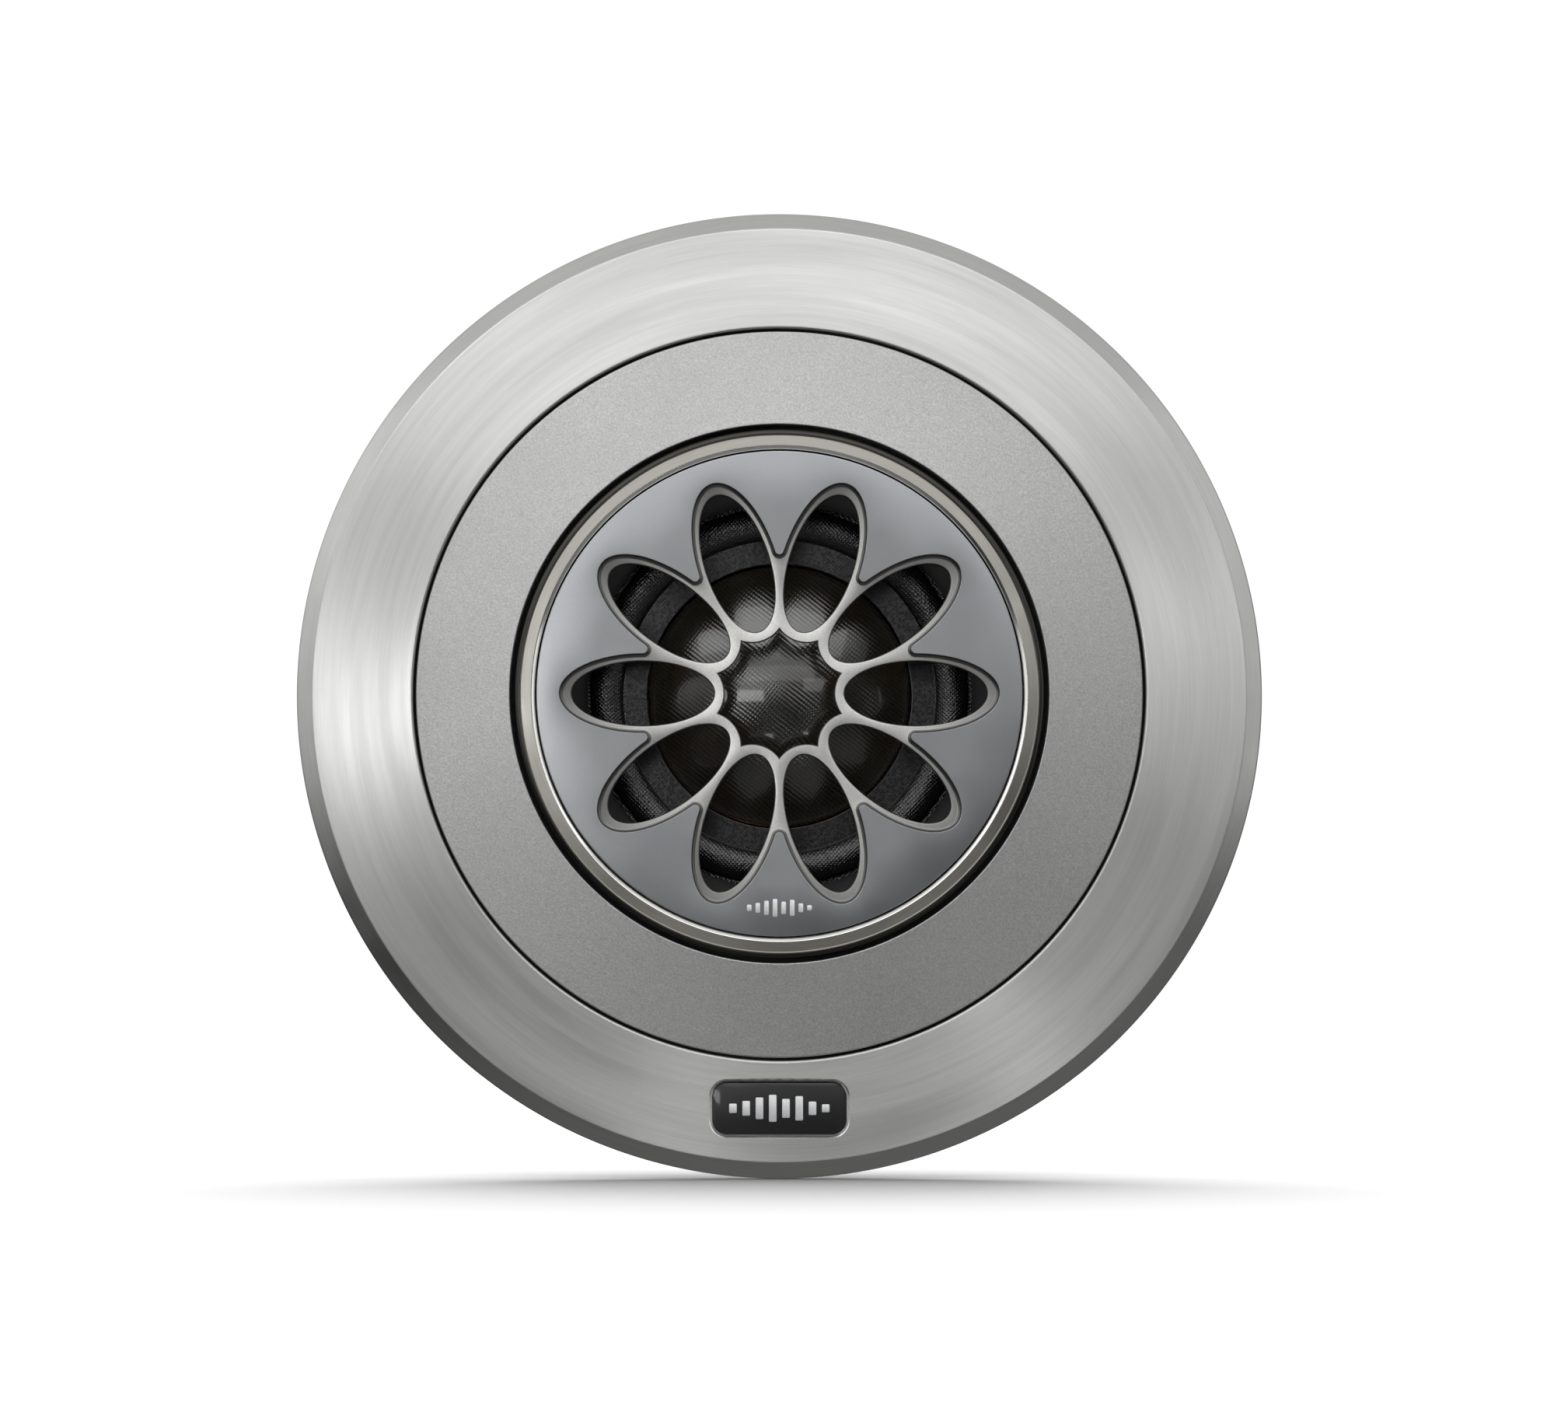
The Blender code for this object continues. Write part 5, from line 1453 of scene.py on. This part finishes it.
class TWEETER_OT_screws(PieceOperator, bpy.types.Operator):
    """Turns the twelve screws and broaches their key sockets"""

    bl_idname = "tweeter.screws"
    bl_label = "Screws"

    def build(self, tweeter):
        settings = tweeter.metalwork
        zinc = zinc_steel(settings.zinc)
        for node in ring_screws():
            self.make_screw(settings, node, zinc, flush=True)
        for node in cover_screws():
            self.make_screw(settings, node, zinc, flush=False)

    def make_screw(self, settings, node, finish, flush):
        tip, behind, head = front(node), back(node), rim_round(node)
        shank, root = SHANK_RADIUS, SHANK_RADIUS - 0.14 * MM
        thread = []
        start = behind + 1.3 * MM
        turns = 5
        pitch = (tip - 0.25 * MM - start) / turns
        for index in range(turns):
            low = start + index * pitch
            thread += [(root, low, 0), (shank, low + pitch / 2, 0)]
        if flush:
            seat = [
                (root, start - 0.1 * MM, 0), (head, behind + 0.12 * MM, 0.03 * MM),
                (head, behind, 0.04 * MM),
            ]
        else:
            shoulder = behind + 1.1 * MM
            seat = [(root, shoulder, 0), (head, shoulder, 0.06 * MM), (head, behind, 0.38 * MM)]
        corners = [(0.0, tip, 0), (shank * 0.7, tip, 0.1 * MM)]
        corners += [*reversed(thread), *seat, (0.0, behind, 0)]
        shape = turn(section(corners), SMALL_STEPS, middle(node))
        x, z = middle(node)
        key = bmesh.new()
        floor = Matrix.Translation((x, -(behind + settings.socket_depth), z))
        bmesh.ops.create_circle(
            key, cap_ends=True, segments=6, radius=settings.socket,
            matrix=floor @ Matrix.Rotation(math.pi / 2, 4, "X"),
        )
        made = bmesh.ops.extrude_face_region(key, geom=key.faces[:])["geom"]
        ends = [item for item in made if isinstance(item, bmesh.types.BMVert)]
        bmesh.ops.translate(key, verts=ends, vec=(0.0, settings.socket_depth + 0.5 * MM, 0.0))
        weld(key)
        finish_piece(node + "_turned", cut_from(shape, key), [finish], [node])


class TWEETER_OT_motor(PieceOperator, bpy.types.Operator):
    """Makes the magnet, its pole plate and yoke, the felt pad and the voice coil"""

    bl_idname = "tweeter.motor"
    bl_label = "Motor"

    def build(self, tweeter):
        settings = tweeter.metalwork
        zinc = zinc_steel(settings.zinc)
        nickel = plated_metal("nickelled_magnet", settings.nickel, 0.16, (0.60, 0.57, 0.50))
        foil = plated_metal("aluminium_foil", (0.82, 0.82, 0.83), 0.28, (0.70, 0.70, 0.72))
        felt = finish_once("grey_felt", damping_felt, settings.felt)
        pieces = (
            ("pole_plate", zinc, 0.2 * MM, FIXED_BODY),
            ("neodymium_magnet", nickel, 0.3 * MM, FIXED_BODY),
            ("pole_felt", felt, 0.35 * MM, FIXED_BODY),
            ("voice_coil_former", foil, 0.04 * MM, COIL_BODY),
            ("voice_coil_winding", wound_copper(settings.copper), 0.12 * MM, COIL_BODY),
        )
        for node, finish, rounding, body in pieces:
            ring = plain_ring(bore(node), rim(node), back(node), front(node), rounding)
            shape = turn(ring, SOFT_STEPS)
            finish_piece(node + "_turned", shape, [finish], [node], body)
        softened_copy("yoke_cup", 0.2 * MM, zinc)


class TWEETER_OT_rear_chamber(PieceOperator, bpy.types.Operator):
    """Turns the rear can and its cover, and cuts the felt disc inside"""

    bl_idname = "tweeter.rear_chamber"
    bl_label = "Rear chamber"

    def build(self, tweeter):
        anodised = finish_once("black_anodised", anodised_metal, tweeter.metalwork.anodised)
        felt = finish_once("grey_felt", damping_felt, tweeter.metalwork.felt)
        node = "rear_can"
        outer, inner = rim(node), rim("rear_felt") + SEAT_GAP
        ledge = back("rear_felt") - SEAT_GAP
        shape = turn(
            section(
                [
                    (outer, front(node), 0.2 * MM), (outer, back(node), 0.3 * MM),
                    (bore(node), back(node), 0.2 * MM), (bore(node), ledge, 0.2 * MM),
                    (inner, ledge, 0.2 * MM), (inner, front(node), 0.15 * MM),
                ]
            )
        )
        wells = []
        for screw in cover_screws():
            well = disc(COVER_HOLE_RADIUS, back(node) - 0.5 * MM, front(screw) + 0.2 * MM, 0)
            wells.append(turn(well, WELL_STEPS, middle(screw)))
        finish_piece("turned_rear_can", cut_from(shape, joined(*wells)), [anodised], [node])

        node = "rear_cover"
        shape = turn(disc(rim(node), back(node), front(node), 0.45 * MM))
        behind, ahead = back(node) - PAST, front(node) + PAST
        window = bar(15.0 * MM, 4.2 * MM, behind, ahead, 1.0 * MM, 0)
        holes = [
            turn(disc(radius, behind, ahead, 0), WELL_STEPS, middle(name))
            for name, radius in self.openings()
        ]
        shape = cut_from(shape, joined(window, *holes))
        finish_piece("turned_rear_cover", shape, [anodised], [node])
        softened_copy("rear_felt", 0.3 * MM, felt)

    def openings(self):
        for screw in cover_screws():
            yield screw, COVER_HOLE_RADIUS
        for side in ("left", "right"):
            yield f"{side}_rivet", RIVET_HOLE_RADIUS


class TWEETER_OT_terminals(PieceOperator, bpy.types.Operator):
    """Makes the terminal board, its blades and rivets, and finishes the leads"""

    bl_idname = "tweeter.terminals"
    bl_label = "Terminals"

    def build(self, tweeter):
        settings = tweeter.metalwork
        board = laminated_board(settings.board)
        tin = plated_metal("tin_plate", settings.tin, 0.26, (0.66, 0.63, 0.54))
        softened_copy("terminal_board", 0.15 * MM, board)
        for pole in ("positive", "negative"):
            softened_copy(f"{pole}_terminal", 0.10 * MM, tin)
        for side in ("left", "right"):
            node = f"{side}_rivet"
            tip, behind, head = front(node), back(node), rim_round(node)
            seat = back("terminal_board") - 0.05 * MM
            corners = [
                (0.0, tip, 0), (0.9 * MM, tip, 0.1 * MM), (0.9 * MM, seat, 0),
                (head, seat, 0.05 * MM), (head * 0.98, behind, 0.42 * MM),
                (0.5 * MM, behind, 0.1 * MM), (0.35 * MM, behind + 0.25 * MM, 0.1 * MM),
                (0.0, behind + 0.25 * MM, 0),
            ]
            shape = turn(section(corners), SMALL_STEPS, middle(node))
            finish_piece(f"{side}_rivet_turned", shape, [tin], [node])
        copper = lead_copper(settings.copper)
        for pole in ("positive", "negative"):
            lead = frame["nodes"][f"{pole}_lead"]
            for slot in lead.material_slots:
                slot.material = copper


class TWEETER_OT_stage(PieceOperator, bpy.types.Operator):
    """Lays the floor, hangs the lamps and sets up the camera"""

    bl_idname = "tweeter.stage"
    bl_label = "Stage, lamps and camera"

    def build(self, tweeter):
        settings = tweeter.stage
        self.lay_floor(settings)
        self.hang_lamps(settings)
        self.light_room(settings)
        self.set_camera(settings)

    def lay_floor(self, settings):
        shape = bmesh.new()
        bmesh.ops.create_grid(
            shape, x_segments=8, y_segments=8, size=settings.floor_reach,
            matrix=Matrix.Translation((0.0, 0.0, CAD_BOX[0][2] - 0.05 * MM)),
        )
        floor = bpy.data.objects.new("floor", as_mesh("floor", shape))
        paint, tree, shader = new_finish("floor_paint", Specular_IOR_Level=0.0)
        cloud = noise(tree, object_point(tree), 6.0, 2.0)
        cloud = between(tree, cloud, 0.0, 1.0)
        base = mixed(tree, cloud, shaded(settings.floor, 0.995), settings.floor)
        connect(tree, shader, Base_Color=base)
        floor.data.materials.append(paint)
        bpy.context.scene.collection.objects.link(floor)
        floor.visible_glossy = False

    def hang_lamps(self, settings):
        # name, degrees to the side, degrees up, then metres away, wide and tall, and radiance
        lamps = (
            ("overhead_softbox", -6, 44, 1.3, 2.3, 0.6, 1.2),
            ("top_strip", 0, 15.0, 1.25, 0.95, 0.20, 1.1),
            ("left_strip", -21, 1.5, 1.2, 0.50, 0.14, 4.0),
            ("right_strip", 23, 8, 1.2, 0.36, 0.16, 1.5),
            ("left_panel", -88, 14, 1.3, 1.3, 1.3, 0.45),
            ("right_panel", 88, 14, 1.3, 1.3, 1.3, 0.75),
            ("low_left_lamp", -6.5, -24, 1.0, 0.08, 0.10, 3.2),
            ("low_right_lamp", 18, -23, 1.0, 0.10, 0.11, 3.6),
            ("rear_softbox", 180, 62, 1.4, 2.2, 1.6, 5.2),
        )
        for name, side, elevation, distance, width, height, radiance in lamps:
            lamp = bpy.data.lights.new(name, "AREA")
            lamp.shape = "RECTANGLE"
            lamp.size, lamp.size_y = width, height
            lamp.energy = 4 * width * height * radiance * settings.brightness
            obj = bpy.data.objects.new(name, lamp)
            a, e = math.radians(side), math.radians(elevation)
            away = Vector((math.sin(a) * math.cos(e), -math.cos(a) * math.cos(e), math.sin(e)))
            obj.location = away * distance
            obj.rotation_mode = "QUATERNION"
            obj.rotation_quaternion = away.to_track_quat("Z", "Y")
            obj.visible_camera = False
            obj.visible_glossy = name != "rear_softbox"
            bpy.context.scene.collection.objects.link(obj)

    def light_room(self, settings):
        """A bright ceiling that fades to a dark lower room, and a white backdrop."""
        world = bpy.data.worlds.new("studio")
        bpy.context.scene.world = world
        world.use_nodes = True
        tree = world.node_tree
        tree.nodes.clear()
        heading = add_node(tree, "ShaderNodeTexCoord").outputs["Generated"]
        lean = add_node(
            tree, "ShaderNodeVectorMath", {0: heading, 1: (-0.15, 0.0, 0.5)},
            operation="DOT_PRODUCT",
        ).outputs["Value"]
        lean = maths(tree, "ADD", lean, 0.5)
        ramp = add_node(tree, "ShaderNodeValToRGB", {0: lean})
        ramp.color_ramp.interpolation = "EASE"
        stops = ((0.0, 0.20), (0.16, 0.17), (0.34, 0.026), (0.44, 0.026), (0.875, 0.76))
        while len(ramp.color_ramp.elements) < len(stops):
            ramp.color_ramp.elements.new(0.5)
        for element, (place, grey) in zip(ramp.color_ramp.elements, stops):
            element.position = place
            element.color = (grey, grey, grey, 1.0)
        white = (1.0, 1.0, 1.0, 1.0)
        paths = add_node(tree, "ShaderNodeLightPath").outputs
        on_matt = maths(tree, "MULTIPLY_ADD", paths["Is Diffuse Ray"], MATT_SHARE - 1.0, 1.0)
        rise = maths(tree, "MULTIPLY", ramp.outputs[0], on_matt)
        room = add_node(tree, "ShaderNodeBackground", {"Color": white, "Strength": rise})
        backdrop = add_node(tree, "ShaderNodeBackground", {"Color": white, "Strength": 1.05})
        sockets = {0: paths["Is Camera Ray"], 1: room.outputs[0], 2: backdrop.outputs[0]}
        mix = add_node(tree, "ShaderNodeMixShader", sockets)
        output = add_node(tree, "ShaderNodeOutputWorld")
        tree.links.new(mix.outputs[0], output.inputs["Surface"])
        bpy.context.scene.view_settings.view_transform = "Standard"

    def set_camera(self, settings):
        camera = bpy.data.cameras.new("camera")
        camera.lens = settings.focal_length
        camera.sensor_width = SENSOR_WIDTH
        camera.clip_start, camera.clip_end = 0.01, 20.0
        obj = bpy.data.objects.new("camera", camera)
        bpy.context.scene.collection.objects.link(obj)
        e = settings.elevation
        obj.location = (0.0, -settings.distance * math.cos(e), settings.distance * math.sin(e))
        obj.rotation_mode = "QUATERNION"
        obj.rotation_quaternion = (CAMERA_AIM - obj.location).to_track_quat("-Z", "Y")
        bpy.context.scene.camera = obj


class TweeterSettings(bpy.types.PropertyGroup):
    """All the settings of the tweeter."""

    trim_ring: bpy.props.PointerProperty(type=TrimRingSettings)
    face_ring: bpy.props.PointerProperty(type=FaceRingSettings)
    bezel: bpy.props.PointerProperty(type=BezelSettings)
    grille: bpy.props.PointerProperty(type=GrilleSettings)
    diaphragm: bpy.props.PointerProperty(type=DiaphragmSettings)
    mounting: bpy.props.PointerProperty(type=MountingSettings)
    metalwork: bpy.props.PointerProperty(type=MetalworkSettings)
    stage: bpy.props.PointerProperty(type=StageSettings)


OPERATORS = (
    TWEETER_OT_trim_ring,
    TWEETER_OT_badge,
    TWEETER_OT_face_ring,
    TWEETER_OT_bezel,
    TWEETER_OT_grille,
    TWEETER_OT_diaphragm,
    TWEETER_OT_capsule,
    TWEETER_OT_mounting,
    TWEETER_OT_screws,
    TWEETER_OT_motor,
    TWEETER_OT_rear_chamber,
    TWEETER_OT_terminals,
    TWEETER_OT_stage,
)


class TWEETER_PT_pieces(bpy.types.Panel):
    """The tweeter's operators and settings in the sidebar"""

    bl_label = "Tweeter"
    bl_idname = "TWEETER_PT_pieces"
    bl_space_type = "VIEW_3D"
    bl_region_type = "UI"
    bl_category = "Tweeter"

    def draw(self, context):
        layout = self.layout
        for operator in OPERATORS:
            layout.operator(operator.bl_idname)
        tweeter = context.scene.tweeter
        for group in TweeterSettings.__annotations__:
            box = layout.box()
            box.label(text=group.replace("_", " ").capitalize())
            settings = getattr(tweeter, group)
            for name in type(settings).__annotations__:
                box.prop(settings, name)


SETTINGS = (
    TrimRingSettings,
    FaceRingSettings,
    BezelSettings,
    GrilleSettings,
    DiaphragmSettings,
    MountingSettings,
    MetalworkSettings,
    StageSettings,
    TweeterSettings,
)


def register():
    for entry in (*SETTINGS, *OPERATORS, TWEETER_PT_pieces):
        bpy.utils.register_class(entry)
    bpy.types.Scene.tweeter = bpy.props.PointerProperty(type=TweeterSettings)


def unregister():
    del bpy.types.Scene.tweeter
    for entry in reversed((*SETTINGS, *OPERATORS, TWEETER_PT_pieces)):
        bpy.utils.unregister_class(entry)


def main():
    register()
    for operator in OPERATORS:
        group, name = operator.bl_idname.split(".")
        getattr(getattr(bpy.ops, group), name)()


if __name__ == "__main__":
    main()
